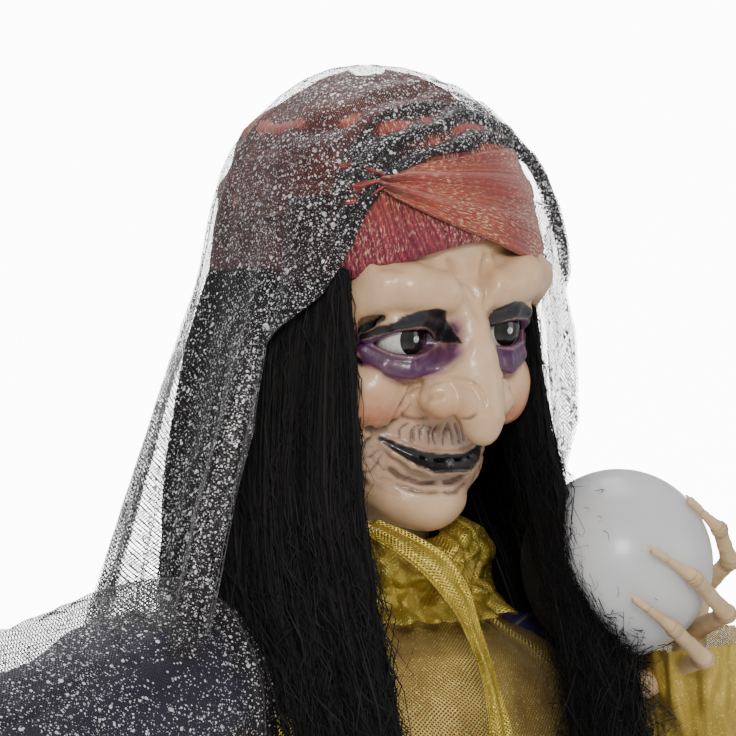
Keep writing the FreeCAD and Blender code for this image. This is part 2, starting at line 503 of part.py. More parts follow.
# ---------------- dress ----------------
BOD = [t for t in TORSO if 995 <= t[0] <= 1310]
bod = loft([(992, 116, 87, -82)] + BOD[1:] + [(1318, 70, 56, -56)], 5.0)
bod = bod.cut(loft([(985, 116, 87, -82)] + BOD[1:] + [(1319, 70, 56, -56)], 1.4, zpad=3)).cut(loft(TORSO, 0.5))
bod = bod.cut(box(-48, 48, 60, 140, 1062, 1198)).cut(zcyl(0, 0, 1290, 1340, 44))
for s in (1, -1):
    bod = bod.cut(cyl(V(s * 100, -2, SHOULDER_Z), V(s * 220, -2, SHOULDER_Z), 30))
save("bodice", bod)
SK = [(HEM_Z, 300, 272, -272), (300, 268, 236, -236), (600, 232, 196, -196), (800, 204, 168, -168), (900, 178, 148, -148), (950, 148, 118, -116), (984, 130, 100, -96)]
sk = loft(SK, 0, e=2.1).cut(loft([(z + (6 if i == len(SK) - 1 else (-6 if i == 0 else 0)), w, f, b) for i, (z, w, f, b) in enumerate(SK)], -4.0, e=2.1))
save("skirt", sk)
collar = Part.makeTorus(58, 12, V(0, 0, 1343), V(0, 0, 1))
collar = collar.cut(loft(TORSO, 1.0))
save("collar_ruffle", collar)
secs = []
for z, w, y, t in ((1322, 30, -76, 5), (1290, 33, -96, 6), (1240, 33, -119, 6), (1180, 32, -127, 7), (1110, 28, -122, 6), (1050, 16, -112, 4)):
    secs.append(ring([V(w * math.cos(k * math.pi / 8), y + t * math.sin(k * math.pi / 8), z) for k in range(16)]))
chest = Part.makeLoft(secs, True, False).cut(loft([(985, 116, 87, -82)] + BOD[1:] + [(1318, 70, 56, -56)], 5.3)).cut(collar).cut(loft(TORSO, 0.6))
save("chest_drape", chest.Solids if len(chest.Solids) > 1 else chest)

# ---------------- control box on the back ----------------
BY0, BY1 = 112.1, 142.0
cb = box(-44, 44, BY0, BY1, 1066, 1194)
cb = cb.makeFillet(3.0, [e for e in cb.Edges if abs(e.BoundBox.YLength - (BY1 - BY0)) < 0.1])
cb = cb.cut(box(-41.5, 41.5, BY0 + 2.5, BY1 - 2.5, 1068.5, 1191.5))
cb = cb.cut(box(-29, 29, BY1 - 3, BY1 + 1, 1060, 1132))                 # battery door slot, open downwards
cb = cb.cut(box(-30.5, 30.5, BY1 - 1.8, BY1 - 0.6, 1060, 1133.5))     # rails for the door's tongues
for i in range(-3, 4):
    for j in range(-3, 4):
        if i * i + j * j <= 10:
            cb = cb.cut(Part.makeCylinder(1.2, 6, V(i * 5.0 - 8, BY1 - 4, 1163 + j * 5.0), V(0, 1, 0)))
cb = cb.cut(box(25.8, 30.2, BY1 - 3, BY1 + 1, 1155, 1169))              # switch slot
cb = cb.cut(Part.makeCylinder(4.05, 8, V(-36, BY1 - 4, 1144), V(0, 1, 0)))
save("control_box", cb)
door = fuse([box(-28.8, 28.8, BY1 - 2.4, BY1, 1066.4, 1131.8), box(-30.3, 30.3, BY1 - 1.7, BY1 - 0.7, 1066.4, 1131.8), box(-6, 6, BY1 - 0.2, BY1 + 0.8, 1122, 1124)])
save("battery_door", door)
save("batteries", [fuse([cyl(V(-23, 130, 1080 + 16 * k), V(24, 130, 1080 + 16 * k), 7.0), cyl(V(24, 130, 1080 + 16 * k), V(25.6, 130, 1080 + 16 * k), 2.6)]) for k in range(3)])
save("circuit_board", box(-38, 38, 115.2, 116.8, 1074, 1188))
save("speaker", fuse([Part.makeCylinder(19.5, 5, V(-8, 134.3, 1163), V(0, 1, 0)), Part.makeCylinder(10, 8, V(-8, 126.5, 1163), V(0, 1, 0))]))
save("mode_switch", fuse([box(26, 30, 138.2, 144.4, 1159.5, 1164.5), box(24, 32, 135.2, 138.4, 1154, 1170)]))
jack = cyl(V(-36, 130, 1144), V(-36, 142.6, 1144), 4.0).cut(cyl(V(-36, 132, 1144), V(-36, 150, 1144), 2.85))
save("power_jack", jack)
print(len(made), "nodes")
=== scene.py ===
import sys
import bpy, json, math
import numpy as np
from mathutils import Vector
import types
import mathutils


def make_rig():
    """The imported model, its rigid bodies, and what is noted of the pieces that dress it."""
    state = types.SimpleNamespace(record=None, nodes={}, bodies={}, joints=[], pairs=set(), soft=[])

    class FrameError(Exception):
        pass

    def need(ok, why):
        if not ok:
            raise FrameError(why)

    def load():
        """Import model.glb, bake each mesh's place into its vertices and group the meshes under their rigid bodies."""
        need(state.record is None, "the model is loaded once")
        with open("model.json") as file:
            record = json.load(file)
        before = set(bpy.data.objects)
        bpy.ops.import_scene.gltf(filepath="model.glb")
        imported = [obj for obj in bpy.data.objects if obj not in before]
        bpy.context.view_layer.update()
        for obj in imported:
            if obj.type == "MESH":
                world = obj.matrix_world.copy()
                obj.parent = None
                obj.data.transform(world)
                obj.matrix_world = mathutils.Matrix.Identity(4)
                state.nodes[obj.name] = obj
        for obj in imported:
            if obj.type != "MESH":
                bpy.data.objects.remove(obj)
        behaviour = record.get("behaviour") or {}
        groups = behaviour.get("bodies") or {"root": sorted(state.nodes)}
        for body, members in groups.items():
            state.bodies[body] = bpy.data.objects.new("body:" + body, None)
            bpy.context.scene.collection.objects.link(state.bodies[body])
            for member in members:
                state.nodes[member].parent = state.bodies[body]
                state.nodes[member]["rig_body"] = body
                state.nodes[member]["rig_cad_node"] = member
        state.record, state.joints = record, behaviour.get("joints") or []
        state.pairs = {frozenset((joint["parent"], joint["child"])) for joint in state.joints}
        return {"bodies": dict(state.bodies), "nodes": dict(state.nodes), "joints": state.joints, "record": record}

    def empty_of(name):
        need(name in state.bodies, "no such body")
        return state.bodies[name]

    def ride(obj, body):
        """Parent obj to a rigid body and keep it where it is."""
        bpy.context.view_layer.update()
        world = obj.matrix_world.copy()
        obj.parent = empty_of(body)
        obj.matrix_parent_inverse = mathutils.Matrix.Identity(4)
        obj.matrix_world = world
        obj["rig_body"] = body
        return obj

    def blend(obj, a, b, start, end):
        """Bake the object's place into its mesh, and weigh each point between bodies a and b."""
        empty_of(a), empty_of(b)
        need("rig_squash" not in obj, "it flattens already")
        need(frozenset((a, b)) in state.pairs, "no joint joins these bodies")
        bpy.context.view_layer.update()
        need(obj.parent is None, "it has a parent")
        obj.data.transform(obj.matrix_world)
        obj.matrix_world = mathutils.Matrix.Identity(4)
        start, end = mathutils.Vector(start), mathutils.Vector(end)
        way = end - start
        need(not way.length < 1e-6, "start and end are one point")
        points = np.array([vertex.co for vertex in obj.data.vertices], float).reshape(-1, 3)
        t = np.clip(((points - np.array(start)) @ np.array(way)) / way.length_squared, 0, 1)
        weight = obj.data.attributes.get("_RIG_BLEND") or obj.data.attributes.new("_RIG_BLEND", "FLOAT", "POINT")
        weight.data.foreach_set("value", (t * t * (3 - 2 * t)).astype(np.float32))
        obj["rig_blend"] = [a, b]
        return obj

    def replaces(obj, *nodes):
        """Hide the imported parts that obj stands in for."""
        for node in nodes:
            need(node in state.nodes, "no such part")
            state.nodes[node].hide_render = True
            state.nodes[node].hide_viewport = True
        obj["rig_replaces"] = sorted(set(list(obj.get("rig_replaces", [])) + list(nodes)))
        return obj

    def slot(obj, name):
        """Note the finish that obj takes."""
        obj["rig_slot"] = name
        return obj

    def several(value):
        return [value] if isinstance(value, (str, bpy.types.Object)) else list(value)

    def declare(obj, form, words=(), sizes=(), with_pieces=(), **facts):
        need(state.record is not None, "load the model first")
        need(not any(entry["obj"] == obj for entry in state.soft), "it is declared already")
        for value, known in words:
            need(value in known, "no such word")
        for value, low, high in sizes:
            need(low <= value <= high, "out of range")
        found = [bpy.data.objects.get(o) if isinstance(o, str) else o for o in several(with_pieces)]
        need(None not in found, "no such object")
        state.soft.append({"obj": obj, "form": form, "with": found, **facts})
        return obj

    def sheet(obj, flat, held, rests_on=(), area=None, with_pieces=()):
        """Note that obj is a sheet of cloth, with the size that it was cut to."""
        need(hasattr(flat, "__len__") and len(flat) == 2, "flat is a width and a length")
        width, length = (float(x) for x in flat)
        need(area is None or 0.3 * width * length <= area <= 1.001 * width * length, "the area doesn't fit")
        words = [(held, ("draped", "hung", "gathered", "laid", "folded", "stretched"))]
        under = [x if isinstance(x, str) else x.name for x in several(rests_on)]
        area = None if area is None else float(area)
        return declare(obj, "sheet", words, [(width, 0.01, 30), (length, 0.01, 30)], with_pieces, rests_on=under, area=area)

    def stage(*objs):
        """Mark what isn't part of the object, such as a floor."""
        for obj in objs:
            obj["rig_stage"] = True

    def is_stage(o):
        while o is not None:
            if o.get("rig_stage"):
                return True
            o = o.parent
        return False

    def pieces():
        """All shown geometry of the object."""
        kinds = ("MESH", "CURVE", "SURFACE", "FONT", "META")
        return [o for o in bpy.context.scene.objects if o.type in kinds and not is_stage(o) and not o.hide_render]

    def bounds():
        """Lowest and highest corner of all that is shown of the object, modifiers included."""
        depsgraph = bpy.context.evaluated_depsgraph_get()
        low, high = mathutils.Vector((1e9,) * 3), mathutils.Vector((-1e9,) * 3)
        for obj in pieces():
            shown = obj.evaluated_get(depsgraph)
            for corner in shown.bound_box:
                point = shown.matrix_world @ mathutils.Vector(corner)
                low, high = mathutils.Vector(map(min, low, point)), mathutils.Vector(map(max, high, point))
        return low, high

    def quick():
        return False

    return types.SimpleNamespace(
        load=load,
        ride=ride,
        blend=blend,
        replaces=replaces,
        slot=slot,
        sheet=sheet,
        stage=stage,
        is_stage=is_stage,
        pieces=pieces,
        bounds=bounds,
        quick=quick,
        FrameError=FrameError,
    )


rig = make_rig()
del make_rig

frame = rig.load()
CAD_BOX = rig.bounds()
NODES = frame["nodes"]
rng = np.random.default_rng(11)
MM = 0.001


# ------------------------------------------------------------------ noise and mesh helpers
_perm = np.concatenate([rng.permutation(256)] * 2)
_grad = rng.normal(size=(256, 3))
_grad /= np.linalg.norm(_grad, axis=1)[:, None]


def noise3(p, scale=1.0, seed=0.0):
    p = np.asarray(p, float) * scale + seed * 13.37
    i = np.floor(p).astype(np.int64)
    f = p - i
    u = f * f * f * (f * (f * 6 - 15) + 10)
    out = np.zeros(p.shape[:-1])
    for dx in (0, 1):
        for dy in (0, 1):
            for dz in (0, 1):
                h = _perm[(_perm[(_perm[(i[..., 0] + dx) & 255] + i[..., 1] + dy) & 255] + i[..., 2] + dz) & 255]
                g = _grad[h]
                d = f - np.array([dx, dy, dz])
                w = (u[..., 0] if dx else 1 - u[..., 0]) * (u[..., 1] if dy else 1 - u[..., 1]) * (u[..., 2] if dz else 1 - u[..., 2])
                out += w * (g * d).sum(-1)
    return out * 1.6


def fbm(p, scale=1.0, octaves=4, seed=0.0):
    out, amp = 0.0, 0.5
    for k in range(octaves):
        out = out + amp * noise3(p, scale * 2 ** k, seed + k * 3.1)
        amp *= 0.5
    return out * 1.2


def sstep(a, b, x):
    t = np.clip((x - a) / (b - a), 0, 1)
    return t * t * (3 - 2 * t)


def unit(v):
    v = np.asarray(v, float)
    return v / np.maximum(np.linalg.norm(v, axis=-1, keepdims=True), 1e-12)


def mesh_obj(name, verts, faces, mat=None, uv=None, smooth=True, colors=None):
    me = bpy.data.meshes.new(name)
    verts = np.asarray(verts, float)
    f = faces.tolist() if isinstance(faces, np.ndarray) else faces
    me.from_pydata(verts.tolist(), [], f)
    me.validate()
    o = bpy.data.objects.new(name, me)
    bpy.context.collection.objects.link(o)
    if smooth:
        me.shade_smooth()
    if uv is not None:
        li = np.zeros(len(me.loops), dtype=np.int64)
        me.loops.foreach_get("vertex_index", li)
        lay = me.uv_layers.new(name="UVMap")
        lay.data.foreach_set("uv", np.asarray(uv, np.float32)[li].ravel())
    for k, c in (colors or {}).items():
        c = np.asarray(c, np.float32)
        if c.ndim == 1:
            c = np.stack([c, c, c, np.ones_like(c)], 1)
        elif c.shape[1] == 3:
            c = np.concatenate([c, np.ones((len(c), 1), np.float32)], 1)
        a = me.color_attributes.new(k, "FLOAT_COLOR", "POINT")
        a.data.foreach_set("color", c.ravel())
    if mat is not None:
        me.materials.append(mat)
    return o


def grid_faces(n, m, closed=False, keep=None):
    i, j = np.meshgrid(np.arange(n - 1), np.arange(m if closed else m - 1), indexing="ij")
    j2 = (j + 1) % m
    q = np.stack([i * m + j, (i + 1) * m + j, (i + 1) * m + j2, i * m + j2], -1).reshape(-1, 4)
    return q if keep is None else q[keep(q)]


def grid_obj(name, P, mat, uv=None, closed=False, thick=0.0, smooth=True, colors=None):
    n, m = P.shape[:2]
    if uv is None:
        seg_u = np.linalg.norm(np.diff(P, axis=1), axis=2).mean(0)
        seg_v = np.linalg.norm(np.diff(P, axis=0), axis=2).mean(1)
        u = np.concatenate([[0], np.cumsum(seg_u)])
        v = np.concatenate([[0], np.cumsum(seg_v)])
        uv = np.stack(np.meshgrid(u, v, indexing="xy"), -1)
    o = mesh_obj(name, P.reshape(-1, 3), grid_faces(n, m, closed), mat, uv.reshape(-1, 2), smooth,
                 {k: np.asarray(c).reshape(n * m, -1).squeeze() for k, c in (colors or {}).items()})
    if thick:
        s = o.modifiers.new("t", "SOLIDIFY")
        s.thickness = thick
        s.offset = 0
        apply_mods(o)
    return o


def apply_mods(o):
    dg = bpy.context.evaluated_depsgraph_get()
    me = bpy.data.meshes.new_from_object(o.evaluated_get(dg), preserve_all_data_layers=True, depsgraph=dg)
    o.modifiers.clear()
    o.data = me
    return o


def spline(pts, n, closed=False):
    """Centripetal-ish Catmull-Rom through pts, n samples."""
    p = np.asarray(pts, float)
    if closed:
        q = np.concatenate([p[-1:], p, p[:2]])
    else:
        q = np.concatenate([2 * p[:1] - p[1:2], p, 2 * p[-1:] - p[-2:-1]])
    segs = len(q) - 3
    t = np.linspace(0, segs, n, endpoint=not closed)
    i = np.minimum(t.astype(int), segs - 1)
    f = (t - i)[:, None]
    a, b, c, d = q[i], q[i + 1], q[i + 2], q[i + 3]
    return 0.5 * ((2 * b) + (-a + c) * f + (2 * a - 5 * b + 4 * c - d) * f ** 2 + (-a + 3 * b - 3 * c + d) * f ** 3)


# ------------------------------------------------------------------ material helpers
class Mat:
    def __init__(self, name, **sockets):
        self.m = bpy.data.materials.new(name)
        self.m.use_nodes = True
        self.nt = self.m.node_tree
        self.bsdf = self.nt.nodes["Principled BSDF"]
        self.out = self.nt.nodes["Material Output"]
        for k, v in sockets.items():
            self.set(k, v)

    def set(self, name, v):
        s = self.bsdf.inputs[name.replace("_", " ")]
        if hasattr(v, "is_linked") or isinstance(v, bpy.types.NodeSocket):
            self.nt.links.new(v, s)
        else:
            s.default_value = v if not (isinstance(v, tuple) and len(v) == 3 and s.type == "RGBA") else (*v, 1)

    def node(self, kind, ins=None, **props):
        n = self.nt.nodes.new(kind)
        for k, v in props.items():
            setattr(n, k, v)
        for k, v in (ins or {}).items():
            s = n.inputs[k]
            if isinstance(v, bpy.types.NodeSocket):
                self.nt.links.new(v, s)
            else:
                if s.type == "RGBA" and len(v) == 3:
                    v = (*v, 1)
                s.default_value = v
        return n

    def math(self, op, a, b=0.0, c=0.0, clamp=False):
        n = self.node("ShaderNodeMath", {0: a, 1: b, 2: c}, operation=op, use_clamp=clamp)
        return n.outputs[0]

    def mix(self, f, a, b, blend="MIX"):
        n = self.node("ShaderNodeMix", {0: f, 6: a, 7: b}, data_type="RGBA", blend_type=blend)
        return n.outputs[2]

    def mapr(self, v, a, b, c=0.0, d=1.0, smooth=False):
        n = self.node("ShaderNodeMapRange", {0: v, 1: a, 2: b, 3: c, 4: d}, interpolation_type="SMOOTHSTEP" if smooth else "LINEAR")
        return n.outputs[0]

    def obj(self):
        return self.node("ShaderNodeTexCoord").outputs["Object"]

    def uv(self):
        return self.node("ShaderNodeTexCoord").outputs["UV"]

    def attr(self, name, out="Color"):
        return self.node("ShaderNodeAttribute", attribute_name=name).outputs[out]

    def noise(self, vec, scale, detail=3.0, rough=0.5, out=0, dims="3D"):
        n = self.node("ShaderNodeTexNoise", {"Vector": vec, "Scale": scale, "Detail": detail, "Roughness": rough})
        return n.outputs[out]

    def voronoi(self, vec, scale, feature="F1", rand=1.0, out="Distance"):
        n = self.node("ShaderNodeTexVoronoi", {"Vector": vec, "Scale": scale, "Randomness": rand}, feature=feature)
        return n.outputs[out]

    def ramp(self, f, stops):
        n = self.node("ShaderNodeValToRGB", {0: f})
        e = n.color_ramp.elements
        while len(e) < len(stops):
            e.new(0.5)
        for el, (p, c) in zip(e, stops):
            el.position = p
            el.color = (*c, 1) if len(c) == 3 else c
        return n.outputs[0]

    def xyz(self, vec):
        return self.node("ShaderNodeSeparateXYZ", {0: vec}).outputs

    def scale_vec(self, vec, s):
        return self.node("ShaderNodeVectorMath", {0: vec, 1: s}, operation="MULTIPLY").outputs[0]

    def bump(self, h, dist=0.001, strength=1.0, normal=None):
        ins = {"Height": h, "Distance": dist, "Strength": strength}
        if normal is not None:
            ins["Normal"] = normal
        return self.node("ShaderNodeBump", ins).outputs[0]


def plain(name, color, rough=0.5, metal=0.0, bump=0.0, scale=400.0, var=0.08, coat=0.0):
    """Plastic or metal with slight mottling, wear in roughness and fine grain."""
    m = Mat(name, Metallic=metal)
    o = m.obj()
    n = m.noise(o, 18.0, 5.0, 0.6)
    c = np.array(color)
    m.set("Base_Color", m.mix(m.mapr(n, 0.3, 0.7), tuple(c * (1 - var)), tuple(np.minimum(c * (1 + var) + 0.004, 1))))
    m.set("Roughness", m.mapr(m.noise(o, 60.0, 4.0), 0.3, 0.7, rough * 0.85, min(rough * 1.15, 1)))
    if coat:
        m.bsdf.inputs["Coat Weight"].default_value = coat
        m.bsdf.inputs["Coat Roughness"].default_value = 0.15
    if bump:
        m.set("Normal", m.bump(m.noise(o, scale, 3.0), 0.0005, bump))
    return m.m


# ------------------------------------------------------------------ camera, light, ground
AZ, EL, DIST = math.radians(35.0), math.radians(1.5), 2.3
view = np.array([math.sin(AZ) * math.cos(EL), math.cos(AZ) * math.cos(EL), -math.sin(EL)])
target = np.array([0.0, 0.0, 1.473]) + 0.001 * np.array([math.cos(AZ), -math.sin(AZ), 0])
cam_d = bpy.data.cameras.new("cam")
cam_d.sensor_width = 36.0
cam_d.lens = 36.0 * DIST / 0.446
cam_d.clip_end = 60
cam = bpy.data.objects.new("cam", cam_d)
bpy.context.collection.objects.link(cam)
cam.location = Vector(target - view * DIST)
cam.rotation_euler = Vector(view).to_track_quat("-Z", "Y").to_euler()
bpy.context.scene.camera = cam

world = bpy.data.worlds.new("world")
bpy.context.scene.world = world
world.use_nodes = True
world.node_tree.nodes["Background"].inputs[0].default_value = (1.0, 1.0, 1.0, 1)
world.node_tree.nodes["Background"].inputs[1].default_value = 0.50


def area(name, loc, size, power, color=(1, 1, 1), aim=(0, 0, 1.4)):
    l = bpy.data.lights.new(name, "AREA")
    l.size = size
    l.energy = power
    l.color = color
    o = bpy.data.objects.new(name, l)
    bpy.context.collection.objects.link(o)
    o.location = loc
    o.rotation_euler = (Vector(aim) - Vector(loc)).to_track_quat("-Z", "Y").to_euler()
    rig.stage(o)
    return o


area("key", (-1.3, -2.2, 2.5), 0.7, 42, (1, 0.975, 0.94))
area("fill", (1.9, -1.7, 1.9), 1.2, 8, (0.97, 0.98, 1))
area("top", (0.2, 0.6, 3.0), 1.2, 15)

_f = mesh_obj("floor", [(-9, -9, 0), (9, -9, 0), (9, 9, 0), (-9, 9, 0)], [(0, 1, 2, 3)], plain("floor_paint", (0.86, 0.86, 0.86), 0.7))
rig.stage(_f)

# far white card behind the figure, as in a product studio
_c = np.array([math.sin(AZ), math.cos(AZ), 0.0]) * 12.0
_r = np.array([math.cos(AZ), -math.sin(AZ), 0.0]) * 4.0
_u = np.array([0, 0, 3.5])
card_m = bpy.data.materials.new("white_card")
card_m.use_nodes = True
_b = card_m.node_tree.nodes["Principled BSDF"]
_b.inputs["Base Color"].default_value = (0.9, 0.9, 0.9, 1)
_b.inputs["Emission Color"].default_value = (1, 1, 1, 1)
_b.inputs["Emission Strength"].default_value = 3.0
_lp = card_m.node_tree.nodes.new("ShaderNodeLightPath")
_ma = card_m.node_tree.nodes.new("ShaderNodeMath")
_ma.operation = "MULTIPLY_ADD"
_ma.inputs[1].default_value = 9.0
_ma.inputs[2].default_value = 3.0
card_m.node_tree.links.new(_lp.outputs["Is Camera Ray"], _ma.inputs[0])
card_m.node_tree.links.new(_ma.outputs[0], _b.inputs["Emission Strength"])
_f2 = mesh_obj("card", [_c - _r + [0, 0, 0.01], _c + _r + [0, 0, 0.01], _c + _r + _u, _c - _r + _u], [(0, 1, 2, 3)], card_m)
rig.stage(_f2)
# ------------------------------------------------------------------ sculpting with signed distances (millimetres)
def smin(a, b, k):
    h = np.clip(0.5 + 0.5 * (b - a) / k, 0, 1)
    return b + (a - b) * h - k * h * (1 - h)


def smax(a, b, k):
    return -smin(-a, -b, k)


def ell(p, c, r):
    q = (p - np.array(c, float)) / np.array(r, float)
    k0 = np.linalg.norm(q, axis=-1)
    k1 = np.linalg.norm(q / np.array(r, float), axis=-1)
    return k0 * (k0 - 1) / np.maximum(k1, 1e-6)


def cap(p, a, b, ra, rb):
    a, b = np.array(a, float), np.array(b, float)
    ab = b - a
    t = np.clip(((p - a) @ ab) / (ab @ ab), 0, 1)
    return np.linalg.norm(p - a - t[..., None] * ab, axis=-1) - (ra + (rb - ra) * t)


def chain(p, pts, rad, k=2.0):
    d = None
    for i in range(len(pts) - 1):
        c = cap(p, pts[i], pts[i + 1], rad[i], rad[i + 1])
        d = c if d is None else smin(d, c, k)
    return d


def sdf_mesh(fn, lo, hi, step, clip=None):
    """Quads of the surface fn = 0 inside the box, pulled onto it, plus its normals."""
    import openvdb as vdb
    lo, hi = np.array(lo, float), np.array(hi, float)
    n = np.ceil((hi - lo) / step).astype(int) + 1
    ax = [lo[k] + step * np.arange(n[k]) for k in range(3)]
    arr = np.empty(n, np.float32)
    for i in range(n[0]):
        g = np.stack(np.meshgrid([ax[0][i]], ax[1], ax[2], indexing="ij"), -1)
        arr[i] = fn(g)[0]
    arr = np.clip(arr, -6 * step, 6 * step)
    arr[0], arr[-1], arr[:, 0], arr[:, -1], arr[:, :, 0], arr[:, :, -1] = [6 * step] * 6
    g = vdb.FloatGrid(6 * step)
    g.copyFromArray(arr)
    pts, quads = g.convertToQuads(isovalue=0.0)
    p = lo + np.asarray(pts, float) * step
    for _ in range(3):
        d, gr = fn(p), grad(fn, p, 0.25)
        s = np.clip(d / np.maximum((gr ** 2).sum(1), 0.2), -step, step)
        inside = ((p > lo + 1.5 * step) & (p < hi - 1.5 * step)).all(1)
        p = p - gr * (s * inside)[:, None]
    q = np.asarray(quads, int)
    return p, q, unit(grad(fn, p, 0.4))


def grad(fn, p, e):
    return np.stack([fn(p + np.eye(3)[k] * e) - fn(p - np.eye(3)[k] * e) for k in range(3)], -1) / (2 * e)


def drop_faces(p, q, bad):
    """Remove faces with every corner marked bad, and unused points."""
    q = q[~bad[q].all(1)]
    used = np.unique(q)
    m = -np.ones(len(p), int)
    m[used] = np.arange(len(used))
    return m[q], used


def orient(p, q, n):
    """Turn faces so they face along the surface normals."""
    a, b, c = p[q[:, 0]], p[q[:, 1]], p[q[:, 2]]
    f = np.cross(b - a, c - a)
    flip = (f * n[q].mean(1)).sum(1) < 0
    q = q.copy()
    q[flip] = q[flip][:, ::-1]
    return q


def dist_poly(p2, pts):
    """Distance from 2-D points to a polyline, and place along it (0..1)."""
    pts = np.asarray(pts, float)
    best = np.full(len(p2), 1e9)
    at = np.zeros(len(p2))
    n = len(pts) - 1
    for i in range(n):
        a, b = pts[i], pts[i + 1]
        ab = b - a
        t = np.clip(((p2 - a) @ ab) / max(ab @ ab, 1e-9), 0, 1)
        d = np.linalg.norm(p2 - a - t[:, None] * ab, axis=1)
        m = d < best
        best[m], at[m] = d[m], (i + t[m]) / n
    return best, at


# ------------------------------------------------------------------ face (numbers in mm, nose towards -Y)
EX, EZ, EY, ER = 34.5, 1496.0, -82.0, 15.5
TILT = 0.065


def level(z, x):
    """The upper half of the face is cast a little askew: its left side sits higher."""
    return z - TILT * x * sstep(1452, 1486, z)


def face_sdf(p):
    p = p.copy()
    p[..., 2] = level(p[..., 2], p[..., 0])
    q = p.copy()
    x = p[..., 0]
    ax = np.sqrt(x * x + 0.6)
    q[..., 0] = ax
    d = ell(p, (0, -4, 1534), (77, 99, 98))
    d = smin(d, ell(p, (0, -26, 1478), (66, 68, 60)), 14)
    d = smin(d, ell(p, (0, -32, 1420), (42, 43, 42)), 16)
    d = smin(d, ell(q, (31, -47, 1424), (16, 20, 24)), 12)             # jowl
    d = smin(d, ell(p, (0, -56, 1396), (30, 22, 17)), 8)               # chin
    d = smin(d, ell(p, (0, -64, 1391), (15, 13, 11)), 9)
    d = smin(d, ell(q, (46, -68, 1464), (21, 22, 20)), 8)              # cheek
    d = smin(d, ell(q, (47, -66, 1452), (17, 18, 13)), 7)
    d = smin(d, ell(p, (0, -61, 1431), (31, 23, 19)), 9)               # muzzle
    # eye hollow, bag and lids
    d = smax(d, -ell(q, (35, -103, 1494), (23, 16, 15)), 8)
    d = smin(d, chain(q, [(15, -93, 1482), (25, -95, 1476), (36, -94, 1474), (49, -87, 1478), (58, -77, 1488)], [3.4, 4.8, 5.2, 4.6, 3]), 6)
    d = smin(d, chain(q, [(16, -89, 1484.5), (26, -93.5, 1480.5), (36, -95, 1479), (48, -88.5, 1482), (57, -78.5, 1490)], [3.2, 3.6, 3.8, 3.5, 2.8]), 4)
    d = smin(d, chain(q, [(15, -88, 1489), (24, -95, 1485), (35, -97.5, 1483.5), (47, -92, 1486), (56, -81, 1493)], [1.5, 1.7, 1.8, 1.7, 1.5]), 2.0)
    d = smin(d, chain(q, [(12, -91, 1500), (20, -97, 1503.5), (34, -100.5, 1506), (47, -96, 1504.5), (58, -82, 1497)], [5.2, 5.4, 5.0, 4.4, 3]), 2.6)
    d = smin(d, chain(q, [(15, -93, 1494), (22, -98, 1500.5), (34, -100.8, 1502.6), (46, -96, 1501.3), (55, -84, 1495)], [1.8, 2.0, 2.1, 2.0, 1.6]), 1.2)
    # brow: a heavy smooth lobe that swells outward and turns down at its end
    d = smin(d, chain(q, [(7, -101, 1516), (21, -104, 1520.5), (40, -101, 1525), (56, -88, 1525), (68, -72, 1517)],
                      [9.5, 12.0, 13.8, 14.5, 11.0]), 7)
    d = smin(d, ell(p, (0, -78, 1543), (56, 20, 17)), 12)
    d = smin(d, ell(q, (64, -66, 1502), (8, 11, 10)), 8)
    # nose
    d = smin(d, chain(p, [(0, -98, 1514), (0, -103, 1499), (0, -107, 1483), (0, -110, 1467), (0, -112, 1454)], [10.5, 12.5, 14.5, 16, 16]), 7)
    d = smin(d, chain(p, [(0, -113, 1455), (0, -117, 1445), (0, -117.5, 1440)], [14.5, 12.5, 10]), 5)
    d = smin(d, ell(q, (19.0, -101.5, 1457), (12, 14, 12)), 2.2)
    d = smin(d, ell(q, (12, -97, 1470), (11, 13, 12)), 8)
    d = smax(d, -ell(q, (12.5, -106, 1443.5), (5.8, 8, 5.5)), 2.5)
    # thin smirking mouth with rolled lips
    mouth = [(0, -90.6, 1419.6), (12, -89.4, 1420.2), (22, -84.8, 1423.2), (31, -76.2, 1428.8), (36, -69.0, 1433)]
    d = smin(d, chain(q, [(0, -85, 1415.6), (12, -84, 1416.0), (22, -79.5, 1419.4), (31, -72, 1425.6), (36, -66, 1431)], [4.2, 4.0, 3.4, 2.4, 1.4]), 2.4)
    d = smin(d, chain(q, [(0, -84, 1423.6), (12, -83.5, 1424.0), (22, -79.5, 1426.8), (31, -72.5, 1431.2), (36, -66.5, 1434.6)], [2.6, 2.6, 2.3, 1.9, 1.3]), 2.4)
    d = smax(d, -chain(q, mouth, [5.0, 4.8, 4.0, 2.6, 1.0]), 1.6)
    d = smin(d, ell(q, (46, -57, 1437), (8, 9, 10)), 6)                # fold outside the mouth's corner
    # eyeball opening
    d = smax(d, -(np.linalg.norm(q - np.array([EX, EY, EZ]), axis=-1) - ER - 0.6), 1.2)
    return d


def groove(p, n, pts, depth, w, mirror=True, taper=True, jitter=1.0):
    x, z = p[:, 0], level(p[:, 2], p[:, 0])
    jx = jitter * noise3(p, 0.09, 5.0)
    jz = jitter * noise3(p, 0.09, 9.0)
    out = np.zeros(len(p))
    for s in ((1, -1) if mirror else (1,)):
        d, t = dist_poly(np.stack([s * x + jx, z + jz], 1), pts)
        a = np.exp(-(d / w) ** 2) - 0.35 * np.exp(-((d - 2.1 * w) / (1.1 * w)) ** 2)
        if taper:
            a = a * sstep(0, 0.18, t) * sstep(1, 0.82, t)
        out = out + a
    return -depth * out * sstep(0.1, -0.35, n[:, 1])


